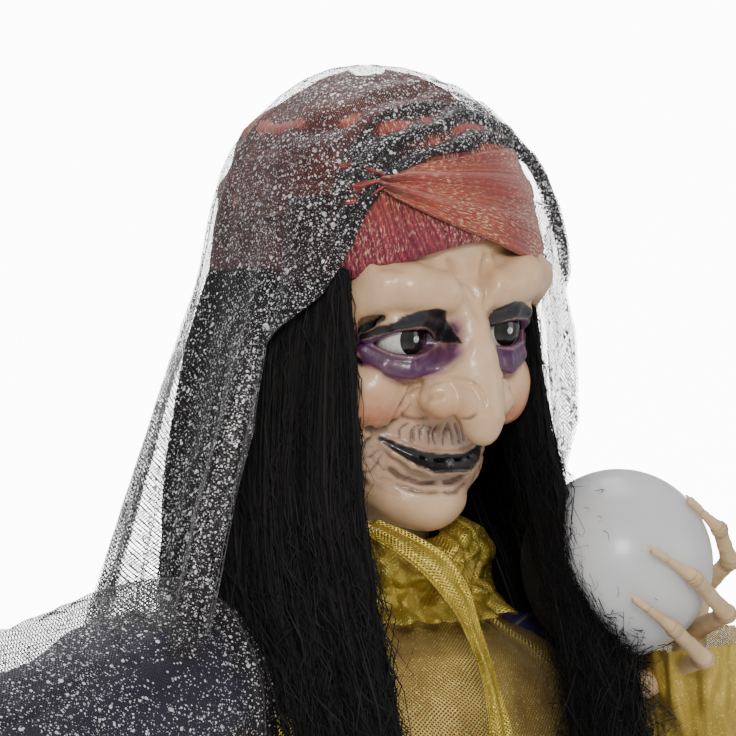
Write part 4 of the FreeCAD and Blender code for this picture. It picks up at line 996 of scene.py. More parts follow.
def under(name, side, a0, a1, sink=15.0):
    a = np.linspace(a0, a1, 60)
    G, zs = guide(side, a)
    t = np.repeat(np.linspace(0, 0.93, 80)[None], 60, 0)
    P = resample(G, zs, t)
    axis = P.copy(); axis[..., 2] = 0
    out = unit(axis)
    P = P - out * (sink * (0.4 + 0.6 * sstep(0, 0.2, t)) * 0.75)[..., None]
    P = P + out * (2.2 * np.sin(a * 1.7)[:, None] * sstep(0.1, 0.5, t))[..., None]
    edge = np.minimum(sstep(0, 4, np.arange(60)), sstep(0, 4, np.arange(60)[::-1]))
    P = push_out(P, BALL_C, BALL_RR + 1.5)
    o = grid_obj(name, P * MM, hair_m.m, colors={"shade": 0 * t}, thick=0.002)
    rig.slot(o, "hair")
    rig.blend(o, "stand", "head", start=(0, 0, 1.315), end=(0, 0, 1.43))
    return o


hq = 0.45 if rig.quick() else 1.0
h1 = strands("hair_right_front", -1, 36, 112, int(3850 * hq), 25, seed=3, depth=24, w0=0.27, frizz=3.3, clumps=170, stray=0.16)
h1b = strands("hair_right_front_inner", -1, 36, 112, int(6000 * hq), 16, seed=33, depth=24, w0=0.36, frizz=1.8, clumps=90)
h2 = strands("hair_left_front", 1, 42, 112, int(3850 * hq), 25, seed=5, depth=26, w0=0.27, stray=0.24, frizz=3.6, clumps=170)
h2b = strands("hair_left_front_inner", 1, 42, 112, int(6000 * hq), 16, seed=35, depth=24, w0=0.36, stray=0.08, frizz=1.8, clumps=90)
h3 = strands("hair_back_right", -1, 108, 180, int(4200 * hq), 20, seed=8, depth=18, w0=0.5, clumps=90)
h4 = strands("hair_back_left", 1, 108, 180, int(4200 * hq), 20, seed=9, depth=18, w0=0.5, clumps=90)
h5 = strands("hair_flyaway", 1, 40, 100, int(900 * hq), 30, length=(0.35, 0.75), depth=46, w0=0.13, frizz=3.0, stray=0.7, seed=21)
h6 = strands("hair_flyaway_right", -1, 36, 90, int(600 * hq), 30, length=(0.35, 0.85), depth=36, w0=0.13, frizz=3.0, stray=0.5, seed=22)
for s, tg in ((-1, "right"), (1, "left")):
    under("hair_under_" + tg, s, 42, 180)
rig.replaces(h1, "wig_upper", "hair_locks")
# ------------------------------------------------------------------ net cloth
def net_mat(name, thread, cell, width, glitter=0.0, metal=0.0, rough=0.5, shine=(0.86, 0.86, 0.88), dens=1.0, attr=False):
    """Fine net: threads between open cells, with round glitter of mixed sizes. Sizes in metres."""
    m = Mat(name, Roughness=rough, Metallic=metal)
    o = m.obj()
    wob = m.node("ShaderNodeVectorMath", {0: m.uv(), 1: m.scale_vec(m.noise(o, 60.0, 2.0, out=1), (0.0012, 0.0012, 0))}, operation="ADD").outputs[0]
    x, y = m.xyz(wob)[0], m.xyz(wob)[1]
    k = math.pi / cell
    e1 = m.math("ABSOLUTE", m.math("SINE", m.math("MULTIPLY", m.math("ADD", x, y), k)))
    e2 = m.math("ABSOLUTE", m.math("SINE", m.math("MULTIPLY", m.math("SUBTRACT", x, y), k)))
    thr = m.mapr(m.math("MINIMUM", e1, e2), width * 0.75, width * 1.25, 1.0, 0.0)
    col = m.mix(m.mapr(m.noise(o, 25.0, 3.0), 0.3, 0.7), tuple(np.array(thread) * 0.75), tuple(np.minimum(np.array(thread) * 1.3, 1)))
    a = thr
    if glitter:
        patch = m.mapr(m.noise(o, 13.0, 3.0, 0.6), 0.30, 0.54)
        g = None
        if attr:
            gd = m.mapr(m.attr("glit", "Fac"), 0.0, 1.0, 0.42, 1.10)
        for sc, r0, r1, d in ((900.0, 0.18, 0.42, 0.34), (480.0, 0.14, 0.40, 0.56), (240.0, 0.10, 0.30, 0.50), (120.0, 0.06, 0.20, 0.34)):
            f1 = m.voronoi(o, sc, out="Distance")
            rnd = m.node("ShaderNodeSeparateColor", {0: m.voronoi(o, sc, out="Color")}).outputs
            size = m.mapr(rnd[0], 0.0, 1.0, r0, r1)
            lot = m.math("MULTIPLY", rnd[1], m.mapr(patch, 0, 1, 0.60, 1.25))
            if attr:
                lot = m.math("MULTIPLY", lot, gd)
            on = m.math("GREATER_THAN", lot, 1.0 - d * dens)
            dot = m.math("MULTIPLY", m.math("LESS_THAN", f1, size), on)
            g = dot if g is None else m.math("MAXIMUM", g, dot)
        flick = m.node("ShaderNodeSeparateColor", {0: m.voronoi(o, 420.0, out="Color")}).outputs[2]
        sp = m.mix(m.mapr(flick, 0.1, 0.9), tuple(np.array(shine) * 0.42), shine)
        col = m.mix(g, col, sp)
        a = m.math("MAXIMUM", a, g)
        m.set("Metallic", m.mapr(g, 0, 1, metal, 0.35))
    m.set("Base_Color", col)
    m.set("Alpha", a)
    m.bsdf.inputs["Sheen Weight"].default_value = 0.15
    m.m.use_transparent_shadow = True
    return m.m


veil_m = net_mat("veil_net", (0.014, 0.010, 0.013), 0.0026, 0.42, glitter=1.0, dens=1.0, shine=(0.97, 0.97, 0.98), attr=True)
veil_f = net_mat("veil_net_folded", (0.014, 0.010, 0.013), 0.0026, 0.50, glitter=1.0, dens=1.0, shine=(0.97, 0.97, 0.98))

VZ = np.array([850, 1000, 1100, 1260, 1337, 1400, 1466, 1520, 1547, 1570, 1590, 1605, 1622, 1638, 1648, 1654, 1657], float)
VWr = np.array([246, 232, 220, 190, 166, 148, 126, 106, 99, 95, 90, 83, 71, 54, 36, 20, 1], float)
VWb = np.array([246, 232, 219, 187, 160, 139, 114, 94.5, 87, 83, 79, 72.5, 61, 46, 32, 19, 1], float)
VWl = np.array([246, 228, 214, 184, 158, 142, 131, 124, 119, 112, 102, 92, 77, 56, 38, 20, 1], float)
VF = np.array([150, 145, 140, 132, 128, 122, 117, 115, 114, 110, 103, 94, 80, 62, 43, 24, 1], float)
VB = np.array([214, 200, 189, 168, 152, 138, 126, 114.5, 111, 106.5, 100, 92.5, 79.5, 61, 44, 25, 1], float)


def veil_plan(z, ang):
    s, c = np.sin(ang), np.cos(ang)
    wr = sstep(0.5, -0.1, c)
    W = np.where(s > 0, np.interp(z, VZ, VWl), np.interp(z, VZ, VWr) * (1 - wr) + np.interp(z, VZ, VWb) * wr)
    F, B = np.interp(z, VZ, VF), np.interp(z, VZ, VB)
    e = 2 / 2.25
    return np.stack([W * np.sign(s) * np.abs(s) ** e, -np.where(c > 0, F, B) * np.sign(c) * np.abs(c) ** e, z + 0 * ang], -1)


def veil_folds(P, ang):
    z = P[..., 2]
    amp = np.interp(z, [850, 1100, 1337, 1466, 1540, 1600, 1657], [20, 15, 9.5, 5.0, 1.8, 1.2, 0.4])
    drift = 0.9 * noise3(np.stack([np.cos(ang) * 1.4, np.sin(ang) * 1.4, z * 0.0035], -1), 1.0, 3)
    w = np.sin(ang * 17 + 5 * drift) * 0.55 + np.sin(ang * 29 + 2.0 + 7 * drift) * 0.3 + np.sin(ang * 7 + 1.0 + 2 * drift) * 0.45
    fine = fbm(P, 0.03, 3, 8) * 1.4
    out = unit(np.stack([P[..., 0], P[..., 1], 0 * z], -1) + 1e-9)
    up = sstep(1560, 1640, z)[..., None]
    n = unit(out * (1 - up) + np.array([0, 0, 1.0]) * up)
    return P + n * (amp * w + fine)[..., None]


def veil_clear(P):
    P = push_out(P, BALL_C, BALL_RR + 6)
    return P


zs_v = np.concatenate([np.linspace(1520, 1290, 84), np.linspace(1284, 852, 70)])
phR = np.interp(zs_v[::-1], [850, 1180, 1240, 1297, 1342, 1408, 1440, 1490, 1520], [108, 106, 92, 68, 64, 63, 62, 68, 51])[::-1]
phL = np.interp(zs_v[::-1], [850, 1200, 1300, 1350, 1400, 1440, 1490, 1520], [110, 110, 104, 94, 78, 68, 64, 63])[::-1]
# notch at the temple eases in over the first rows
v = np.linspace(0, 1, 340)
ang = -np.radians(phR)[:, None] - v[None] * np.radians(360 - phL - phR)[:, None]
curtain = veil_plan(np.repeat(zs_v[:, None], len(v), 1), ang)
# cap: back columns share the curtain's top row, front columns end on the hem over the brow
a_back = ang[0]
a_front = np.radians(np.linspace(-(360 - 63), -(360 + 51), 130))[1:-1]
a_all = np.concatenate([a_back, a_front])
zc = np.full(len(a_all), 1520.0)
deg = ((np.degrees(a_all) + 180) % 360) - 180
fr = np.arange(len(a_all)) >= len(a_back)
zc[fr] = np.interp(deg[fr], [-51, -45, -38, -28, -10, 15, 35, 48, 56, 63], [1520, 1541, 1566, 1586, 1599, 1605, 1605, 1590, 1558, 1520])
t = np.linspace(0, 1, 80)[:, None]
zcap = zc[None] + (1656.5 - zc[None]) * (1 - t ** 1.9)
acap = np.repeat(a_all[None], len(t), 0)
cap_p = veil_plan(zcap, acap)
# swags that run beside the front hem
hem_d = np.zeros(len(a_all)); hem_d[fr] = 1
edge = np.clip((t * (0.4 + 0.6 * sstep(-75, -45, deg) * sstep(88, 66, deg))[None]), 0, 1)
sw = np.sin((1 - t) * 38 + 1.5 * noise3(np.stack([np.cos(acap) * 2, np.sin(acap) * 2, t + 0 * acap], -1), 1.0, 4) * 2.2)
front_w = (sstep(-100, -50, deg) * sstep(95, 60, deg))[None] * sstep(0.25, 0.6, t)
cap_f = veil_folds(cap_p, acap)
cap_f = cap_f + unit(np.stack([cap_p[..., 0], cap_p[..., 1], 60 + 0 * acap], -1)) * (2.4 * sw * front_w)[..., None]
# hem edge rolled slightly inward so it sits on the scarf
roll = (front_w * sstep(0.93, 1.0, t))[..., None]
cap_f = cap_f - unit(np.stack([cap_p[..., 0], cap_p[..., 1], 0 * acap], -1)) * 3.0 * roll
cur_f = veil_folds(curtain, ang)
seam = sstep(0, 10, np.arange(len(zs_v)))[:, None, None]
n_cap = cap_f.shape[0]
cur_f[0] = cap_f[-1, :len(a_back)]
for k in range(1, 10):
    cur_f[k] = cur_f[k] * seam[k] + (cur_f[k] + (cur_f[0] - veil_folds(curtain[:1], ang[:1])[0])) * (1 - seam[k])
cur_f = veil_clear(cur_f)
nv_, m_all = len(v), len(a_all)
Vv_ = np.concatenate([cap_f.reshape(-1, 3), cur_f[1:].reshape(-1, 3)])
faces = grid_faces(n_cap, m_all, closed=True)
off = n_cap * m_all
idx = np.concatenate([((n_cap - 1) * m_all + np.arange(nv_))[None], off + np.arange((len(zs_v) - 1) * nv_).reshape(-1, nv_)])
q2 = np.stack([idx[:-1, :-1], idx[1:, :-1], idx[1:, 1:], idx[:-1, 1:]], -1).reshape(-1, 4)
arc_c = np.concatenate([np.zeros((1, m_all)), np.cumsum(np.linalg.norm(np.diff(cap_p, axis=0), axis=2), 0)], 0)
arc_b = arc_c[-1:, :nv_] + (zs_v[0] - zs_v)[:, None]
uvv = np.concatenate([np.stack([acap * 0.13, arc_c * MM], -1).reshape(-1, 2), np.stack([ang * 0.13, arc_b * MM], -1)[1:].reshape(-1, 2)])
gl_c = np.full((n_cap, m_all), 0.85)
gl_b = np.repeat(np.interp(v, [0, 0.12, 0.2, 0.3, 0.8, 1], [1, 0.92, 0.6, 0.15, 0.2, 0.8])[None], len(zs_v), 0)
gl_b = gl_b + (0.85 - gl_b) * sstep(46, 0, np.arange(len(zs_v)))[:, None]
glit = np.concatenate([gl_c.reshape(-1), gl_b[1:].reshape(-1)])
veil = mesh_obj("net_veil", Vv_ * MM, np.concatenate([faces, q2]), veil_m, uv=uvv, colors={"glit": glit})
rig.slot(veil, "net")
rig.blend(veil, "stand", "head", start=(0, 0, 1.32), end=(0, 0, 1.45))
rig.replaces(veil, "veil_hood", "veil_drape")
va = np.zeros(len(veil.data.polygons)); veil.data.polygons.foreach_get("area", va)
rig.sheet(veil, flat=(1.25, 1.35), held="draped", rests_on=["headscarf_wrap", "hair_back_left", "hair_back_right"], area=float(np.clip(va.sum() / 1.12, 0.51, 1.68)))

# gathered inner edge: a second and third layer of net just behind the front hem
hemL = []
fidx = np.where(fr)[0]
rows = np.arange(int(n_cap * 0.66), n_cap)
H = cap_f[np.ix_(rows, fidx)]
inn = unit(np.stack([H[..., 0], H[..., 1], 0.6 * (H[..., 2] - 1540)], -1))
for k, (sink, ph_) in enumerate(((1.3, 0.0), (2.1, 1.7))):
    Hk = H - inn * sink + inn * (0.9 * np.sin(np.arange(len(rows))[:, None] * 0.55 + ph_ + 0.08 * np.arange(len(fidx))[None]))[..., None]
    g = grid_obj("veil_hem_fold_%d" % k, Hk * MM, veil_f)
    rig.slot(g, "net")
    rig.ride(g, "head")
    hemL.append(g)
# turned-back edges that hang down beside the hair
for tg, cols, wid in (("right", np.arange(0, 28), 1), ("left", np.arange(nv_ - 25, nv_), 1)):
    S = np.concatenate([cap_f[n_cap - 20:n_cap - 1][:, cols], cur_f[:100][:, cols]])
    out = unit(np.stack([S[..., 0], S[..., 1], 0 * S[..., 0]], -1))
    S2 = veil_clear(S - out * (2.2 + 1.4 * np.sin(np.arange(len(cols)) * 0.5)[None])[..., None])
    g = grid_obj("veil_edge_" + tg, S2 * MM, veil_f)
    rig.slot(g, "net")
    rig.blend(g, "stand", "head", start=(0, 0, 1.32), end=(0, 0, 1.45))
# ------------------------------------------------------------------ hands and ball
skin_m = Mat("vinyl_hand")
o = skin_m.obj()
cr = skin_m.attr("crease", "Fac")
nl = skin_m.attr("nail", "Fac")
n1 = skin_m.noise(o, 40.0, 5.0, 0.6)
bs = skin_m.mix(skin_m.mapr(n1, 0.25, 0.75), (0.68, 0.46, 0.24), (0.82, 0.61, 0.36))
bs = skin_m.mix(skin_m.math("MULTIPLY", cr, 0.75), bs, (0.30, 0.17, 0.09))
bs = skin_m.mix(nl, bs, (0.76, 0.57, 0.34))
skin_m.set("Base_Color", bs)
skin_m.set("Roughness", skin_m.mapr(nl, 0, 1, 0.42, 0.25))
skin_m.bsdf.inputs["Subsurface Weight"].default_value = 0.12
skin_m.bsdf.inputs["Subsurface Radius"].default_value = (0.006, 0.003, 0.0015)
skin_m.bsdf.inputs["Subsurface Scale"].default_value = 0.6
skin_m.bsdf.inputs["Coat Weight"].default_value = 0.2
skin_m.bsdf.inputs["Coat Roughness"].default_value = 0.2
skin_m.set("Normal", skin_m.bump(skin_m.math("ADD", skin_m.noise(o, 500.0, 3.0), skin_m.noise(o, 160.0, 3.0)), 0.0006, 0.4))


def hand_mesh(name, body, node, fingers, thumb, wrist, wdir, step=1.15, ball=None):
    allp = [np.array(f, float) for f in fingers] + [np.array(thumb, float)]
    w0 = np.array(wrist, float)
    wd = unit(np.array(wdir, float))
    palm = w0 + wd * 16
    tips = []
    for f in allp:
        tips.append((f[-2], f[-1]))

    def sdf(p):
        d = cap(p, w0 - wd * 14, w0 + wd * 10, 13.5, 13.0)
        d = smin(d, np.linalg.norm(p - palm, axis=-1) - 15.5, 8)
        for k, f in enumerate(allp):
            th = k == len(allp) - 1
            r = [7.2, 5.7, 4.7, 2.5] if not th else [7.8, 5.9, 2.9]
            root = palm + (f[0] - palm) * 0.35
            d = smin(d, cap(p, root, f[0], 9.0 if not th else 8.5, 7.2), 6)
            g = None
            for j in range(len(f) - 1):
                a, b = f[j], f[j + 1]
                mid = (a + b) / 2
                c1 = cap(p, a, mid, r[j], min(r[j], r[j + 1]) * 0.93)
                c2 = cap(p, mid, b, min(r[j], r[j + 1]) * 0.93, r[j + 1])
                seg = smin(c1, c2, 2)
                g = seg if g is None else smin(g, seg, 2.2)
                kn = np.linalg.norm(p - a, axis=-1) - r[j] * 1.03
                g = smin(g, kn, 2.0)
            d = smin(d, g, 4.0)
            # tendon on the back of the hand
            d = smin(d, cap(p, palm + (f[0] - palm) * 0.2 + wd * 2, f[0], 5.0, 6.0), 3.0)
        if ball is not None:
            d = smax(d, -(np.linalg.norm(p - ball[0], axis=-1) - ball[1] - 0.25), 1.0)
        return d

    P0 = np.concatenate(allp + [w0[None] - wd * 14])
    p, q, n = sdf_mesh(sdf, P0.min(0) - 18, P0.max(0) + 18, step)
    crease = np.zeros(len(p)); nail = np.zeros(len(p)); h = np.zeros(len(p))
    for f in allp:
        for j in range(1, len(f) - 1):
            ax = unit(f[j + 1] - f[j - 1])
            rel = p - f[j]
            s = rel @ ax
            rad = np.linalg.norm(rel - s[:, None] * ax, axis=1)
            near = sstep(12, 8, rad)
            for o_ in (-3.4, -1.1, 1.2, 3.5):
                g = np.exp(-((s - o_ + 0.5 * noise3(p, 0.3, 2)) / 0.62) ** 2) * near
                h -= 0.55 * g
                crease = np.maximum(crease, 0.75 * g)
        # nail: a long plate on the outer side of the last bone, ending in a point
        a, b = f[-2], f[-1]
        ax = unit(b - a)
        rel = p - b
        s = rel @ ax
        outd = unit((f[-2] - (f[-3] + f[-1]) / 2))
        outd = unit(outd - ax * (outd @ ax))
        up = rel @ outd
        lat = np.abs(rel @ np.cross(ax, outd))
        m = sstep(-10.5, -9.3, s) * sstep(0.2, 0.8, up) * sstep(3.4, 2.7, lat) * sstep(9, 6, np.linalg.norm(rel, axis=1) * 0.75)
        nail = np.maximum(nail, m)
        h += 0.45 * m
        crease = np.maximum(crease, 0.6 * np.exp(-((s + 10.6) / 0.6) ** 2) * sstep(0, 0.8, up) * sstep(4.0, 3.0, lat) * (np.linalg.norm(rel, axis=1) < 14))
    h += 0.30 * fbm(p, 0.10, 3, 3)
    crease = np.clip(crease + 0.5 * np.clip(-fbm(p, 0.08, 3, 3), 0, 1), 0, 1)
    p2 = p + n * h[:, None]
    # thin pointed nail plates beyond the tips
    q = orient(p2, q, n)
    ob = mesh_obj(name, p2 * MM, q, skin_m.m, colors={"crease": crease, "nail": nail})
    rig.ride(ob, body)
    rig.replaces(ob, node)
    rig.slot(ob, "skin")
    for k, f in enumerate(allp):
        a, b = f[-2], f[-1]
        ax = unit(b - a)
        outd = unit((f[-2] - (f[-3] + f[-1]) / 2)); outd = unit(outd - ax * (outd @ ax))
        side = np.cross(ax, outd)
        U, W = np.meshgrid(np.linspace(0, 1, 18), np.linspace(-1, 1, 13), indexing="ij")
        wid = 2.45 * np.clip(1 - U, 0, 1) ** 0.45 * (1 - 0.25 * U)
        N = (b + ax * (-9.0)) + U[..., None] * ax * 15.5 + (W * wid)[..., None] * side + (outd * 2.35)[None, None] * (1 - 0.45 * U[..., None]) - ((W ** 2) * wid * 0.42)[..., None] * outd
        g = grid_obj(name + "_nail_%d" % k, N * MM, skin_m.m, colors={"crease": 0 * U, "nail": 0 * U + 1}, thick=0.0008)
        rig.ride(g, body)
        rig.slot(g, "skin")
    return ob


RTv, DPv = np.array([0.809, -0.588, 0]), np.array([0.588, 0.809, 0])


def PB(r, u, d):
    return BALL_C + RTv * r + DPv * d + np.array([0, 0, u])


LF = [
    [PB(48, -8, 56), PB(50, 12, 46), PB(44, 27, 42), PB(36, 38, 36)],
    [PB(52, -22, 45), PB(69, 0, 20), PB(61, 21, -4), PB(42, 39, -20)],
    [PB(47, -44, 28), PB(65, -30, -10), PB(43, -5, -46), PB(18, 12, -60)],
    [PB(38, -64, 14), PB(51, -57, -16), PB(31, -36, -43), PB(7, -17, -61)],
]
LT = [PB(18, -76, 22), PB(-12, -69, -5), PB(-32, -52, -18)]
J = {j["name"]: j for j in frame["joints"]} if frame["joints"] else {}
W_L = np.array(WRIST_L) if "WRIST_L" in globals() else np.array([186.0, -80.0, 1262.0])
U_L = np.array([-0.293904, -0.252652, 0.921839])
W_R = np.array([-428.0, -178.0, 1262.0])
U_R = np.array([-0.358144, -0.7965, 0.487156])
if J:
    W_L, U_L = np.array(J["left_wrist"]["pos_m"]) * 1000, np.array(J["left_wrist"]["axis"])
    W_R, U_R = np.array(J["right_wrist"]["pos_m"]) * 1000, np.array(J["right_wrist"]["axis"])
hand_mesh("witch_hand_left", "left_hand", "hand_left", LF, LT, W_L, U_L, ball=(BALL_C, BALL_RR))

a_ = unit(U_R)
pn_ = np.array([-0.15, -0.2, -1.0]); pn_ = unit(pn_ - a_ * (pn_ @ a_))
lt_ = np.cross(a_, pn_)
RF = []
for o_, l_, s_ in ((-24, 70, 0.92), (-8, 76, 1.05), (9, 75, 1.0), (25, 68, 0.85)):
    m_ = W_R + a_ * l_ + lt_ * o_
    RF.append([m_, m_ + (a_ * 36 + pn_ * -7 + lt_ * (o_ * 0.18)) * s_, m_ + (a_ * 60 + pn_ * 8 + lt_ * (o_ * 0.25)) * s_, m_ + (a_ * 74 + pn_ * 30 + lt_ * (o_ * 0.28)) * s_])
RT_ = [W_R + a_ * 34 + lt_ * -30 + pn_ * 8, W_R + a_ * 62 + lt_ * -46 + pn_ * 20, W_R + a_ * 84 + lt_ * -48 + pn_ * 36]
hand_mesh("witch_hand_right", "right_hand", "hand_right", RF, RT_, W_R, U_R)

ball_m = Mat("milky_ball", Roughness=0.33)
bo = ball_m.obj()
bn = ball_m.noise(bo, 14.0, 5.0, 0.65)
ball_m.set("Base_Color", ball_m.mix(ball_m.mapr(bn, 0.3, 0.7), (0.75, 0.755, 0.77), (0.84, 0.84, 0.85)))
ball_m.bsdf.inputs["Subsurface Weight"].default_value = 0.75
ball_m.bsdf.inputs["Subsurface Radius"].default_value = (0.03, 0.03, 0.032)
ball_m.bsdf.inputs["Subsurface Scale"].default_value = 0.6
ball_m.bsdf.inputs["Transmission Weight"].default_value = 0.12
ball_m.bsdf.inputs["Coat Weight"].default_value = 0.25
ball_m.bsdf.inputs["Coat Roughness"].default_value = 0.12
ball_m.set("Normal", ball_m.bump(ball_m.noise(bo, 9.0, 3.0), 0.002, 0.25))
n_, m_ = 90, 160
th, ph_ = np.linspace(0.004, np.pi - 0.004, n_), np.linspace(0, 2 * np.pi, m_, endpoint=False)
T, Pp = np.meshgrid(th, ph_, indexing="ij")
mould = 0.12 * np.exp(-(((Pp - 2.2 + np.pi) % np.pi - 0.0) / 0.012) ** 2)
rr = BALL_RR + mould
Bp = BALL_C + rr[..., None] * np.stack([np.sin(T) * np.cos(Pp), np.sin(T) * np.sin(Pp), np.cos(T)], -1)
ballo = grid_obj("milky_globe", Bp * MM, ball_m.m, closed=True)
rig.ride(ballo, "left_hand")
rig.replaces(ballo, "crystal_ball")
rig.slot(ballo, "ball")
# ------------------------------------------------------------------ dress, collar and sleeves
def satin(name, dark, light, rough=0.36, sheen=0.35):
    m = Mat(name)
    o = m.obj()
    n = m.noise(o, 9.0, 4.0, 0.6)
    m.set("Base_Color", m.mix(m.mapr(n, 0.3, 0.7), dark, light))
    m.set("Roughness", m.mapr(m.noise(o, 40.0, 4.0), 0.3, 0.7, rough * 0.85, rough * 1.2))
    m.bsdf.inputs["Sheen Weight"].default_value = sheen
    m.bsdf.inputs["Sheen Roughness"].default_value = 0.4
    uv = m.uv()
    x, y = m.xyz(uv)[0], m.xyz(uv)[1]
    wv = m.math("ADD", m.math("MULTIPLY", m.math("SINE", m.math("MULTIPLY", x, 7000.0)), m.math("SINE", m.math("MULTIPLY", y, 7000.0))), m.noise(o, 420.0, 3.0))
    crush = m.noise(o, 55.0, 5.0, 0.65)
    m.set("Normal", m.bump(wv, 0.0003, 0.35, m.bump(crush, 0.004, 0.35)))
    return m.m


def gold_mat(name, dark, light, cell=0.0013, gap=0.42, metal=0.75, alpha=True):
    """Metallic net: bright flattened yarns crossing at an angle, small open cells."""
    m = Mat(name, Metallic=metal)
    o = m.obj()
    uv = m.uv()
    wob = m.node("ShaderNodeVectorMath", {0: uv, 1: m.scale_vec(m.noise(o, 45.0, 2.0, out=1), (0.003, 0.003, 0))}, operation="ADD").outputs[0]
    x, y = m.xyz(wob)[0], m.xyz(wob)[1]
    f = 2 * math.pi / cell
    a = m.math("SINE", m.math("MULTIPLY", m.math("ADD", x, y), f * 0.5))
    b = m.math("SINE", m.math("MULTIPLY", m.math("SUBTRACT", x, y), f * 0.5))
    h = m.math("MAXIMUM", m.math("ABSOLUTE", a), m.math("ABSOLUTE", b))
    spark = m.noise(o, 700.0, 2.0, 0.7)
    n = m.noise(o, 26.0, 4.0, 0.6)
    c = m.mix(m.mapr(n, 0.3, 0.7), dark, light)
    # painted glints: noise flecks lifted well above the light gold
    c = m.mix(m.mapr(spark, 0.57, 0.68), c, tuple(np.minimum(np.array(light) * 1.5 + 0.10, 1)))
    # painted shade: the yarns darken towards the open cells between them
    c = m.mix(m.mapr(h, 0.35, 0.8), tuple(np.array(dark) * 0.35), c)
    m.set("Base_Color", c)
    m.set("Roughness", m.mapr(spark, 0.3, 0.7, 0.30, 0.5))
    m.set("Normal", m.bump(m.math("ADD", h, m.math("MULTIPLY", spark, 0.6)), 0.0006, 0.8))
    if alpha:
        m.set("Alpha", m.mapr(h, gap - 0.06, gap + 0.06))
        m.m.use_transparent_shadow = True
    return m.m


purple_m = satin("purple_satin", (0.014, 0.008, 0.066), (0.036, 0.018, 0.125))
skirt_m = satin("dark_satin", (0.012, 0.008, 0.030), (0.030, 0.016, 0.060), rough=0.42)
lining_m = satin("rose_lining", (0.20, 0.095, 0.070), (0.33, 0.175, 0.125), rough=0.55)
gold_m = gold_mat("gold_net_collar", (0.32, 0.21, 0.02), (0.78, 0.59, 0.11), cell=0.0024, gap=0.68, metal=0.8)
gold_sheer = gold_mat("gold_net_sheer", (0.36, 0.22, 0.03), (0.80, 0.58, 0.14), cell=0.0026, gap=0.84, metal=0.75)
gold_sleeve = gold_mat("gold_net_sleeve", (0.52, 0.33, 0.035), (0.86, 0.62, 0.14), gap=0.2)
net2_m = net_mat("net_overlay", (0.012, 0.009, 0.012), 0.0024, 0.56, glitter=1.0, dens=0.72)

TORSO_T = np.array([(932, 124, 92, -88), (965, 118, 88, -84), (1000, 116, 87, -82), (1060, 124, 94, -88), (1130, 136, 104, -96), (1190, 144, 112, -101),
                    (1240, 144, 104, -98), (1278, 128, 88, -86), (1306, 94, 68, -68), (1322, 62, 52, -52), (1345, 52, 48, -48), (1392, 50, 46, -46)], float)


def plan(T, z, ang, grow=0.0, e=2.45):
    W, F, B = (np.interp(z, T[:, 0], T[:, k]) for k in (1, 2, 3))
    c = (F + B) / 2
    s, k = np.sin(ang), np.cos(ang)
    x = (W + grow) * np.sign(s) * np.abs(s) ** (2 / e)
    f = c + np.where(k > 0, F + grow - c, c - B + grow) * np.sign(k) * np.abs(k) ** (2 / e)
    return np.stack([x, -f, z + 0 * ang], -1)


def radial(P):
    return unit(np.stack([P[..., 0], P[..., 1], 0 * P[..., 2]], -1) + 1e-9)


# bodice: lining cloth, soft folds running to the waist
A_, Z_ = np.meshgrid(np.linspace(-np.pi, np.pi, 360, endpoint=False), np.concatenate([np.linspace(1334, 1240, 60), np.linspace(1238, 980, 110)]), indexing="xy")
Pb = plan(TORSO_T, Z_, A_, 4.0)
fold = 2.0 * np.sin(A_ * 22 + 2.5 * noise3(np.stack([np.cos(A_) * 2, np.sin(A_) * 2, Z_ * 0.012], -1), 1.0, 5)) * np.interp(Z_, [980, 1040, 1150, 1334], [1.0, 0.8, 0.35, 0.5])
fold += 2.2 * fbm(Pb, 0.02, 3, 2)
Pb = Pb + radial(Pb) * fold[..., None]
boda = grid_obj("bodice_lining", Pb * MM, lining_m, closed=True)
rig.ride(boda, "stand"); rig.slot(boda, "bodice_cloth")
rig.replaces(boda, "bodice", "torso_front_shell", "torso_back_shell")

# skirt
SK_T = np.array([(24, 300, 272, -272), (300, 268, 236, -236), (600, 232, 196, -196), (800, 204, 168, -168), (900, 178, 148, -148), (950, 148, 118, -116), (984, 130, 100, -96), (1004, 124, 94, -89)], float)
zr = np.concatenate([np.linspace(1004, 940, 44), np.linspace(936, 30, 176)])
A_, Z_ = np.meshgrid(np.linspace(-np.pi, np.pi, 600, endpoint=False), zr, indexing="xy")
Ps = plan(SK_T, Z_, A_, 0.0, 2.1)
dn = sstep(1000, 40, Z_)
dr = noise3(np.stack([np.cos(A_) * 1.7, np.sin(A_) * 1.7, Z_ * 0.0012], -1), 1.0, 31)
w = 0.62 * np.sin(A_ * 19 + 5.5 * dr) + 0.38 * np.sin(A_ * 31 + 1.0 + 8 * dr) + 0.30 * np.sin(A_ * 9 + 2.0 + 3 * dr)
gath = np.sin(A_ * 74 + 3 * dr) * np.interp(Z_, [900, 960, 1004], [0.0, 1.6, 2.2])
w = w - 0.45
Ps = Ps + radial(Ps) * (w * np.interp(Z_, [30, 400, 860, 960, 1004], [17, 14, 6.5, 2.5, 1.2]) + gath + 3.0 * fbm(Ps, 0.008, 3, 9) * dn)[..., None]
Ps[..., 2] += (5 * np.sin(A_ * 9 + 2.0 + 3 * dr) + 3 * noise3(np.stack([np.cos(A_) * 5, np.sin(A_) * 5, 0 * A_], -1), 1.0, 3)) * sstep(120, 30, Z_)
skirt = grid_obj("long_skirt", Ps * MM, skirt_m, closed=True)
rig.ride(skirt, "stand"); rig.slot(skirt, "skirt_cloth")
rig.replaces(skirt, "skirt")
hem = Ps[-7:] + radial(Ps[-7:]) * 1.0
hb = grid_obj("skirt_hem_band", hem * MM, gold_m, closed=True)
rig.ride(hb, "stand"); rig.slot(hb, "gold_net")
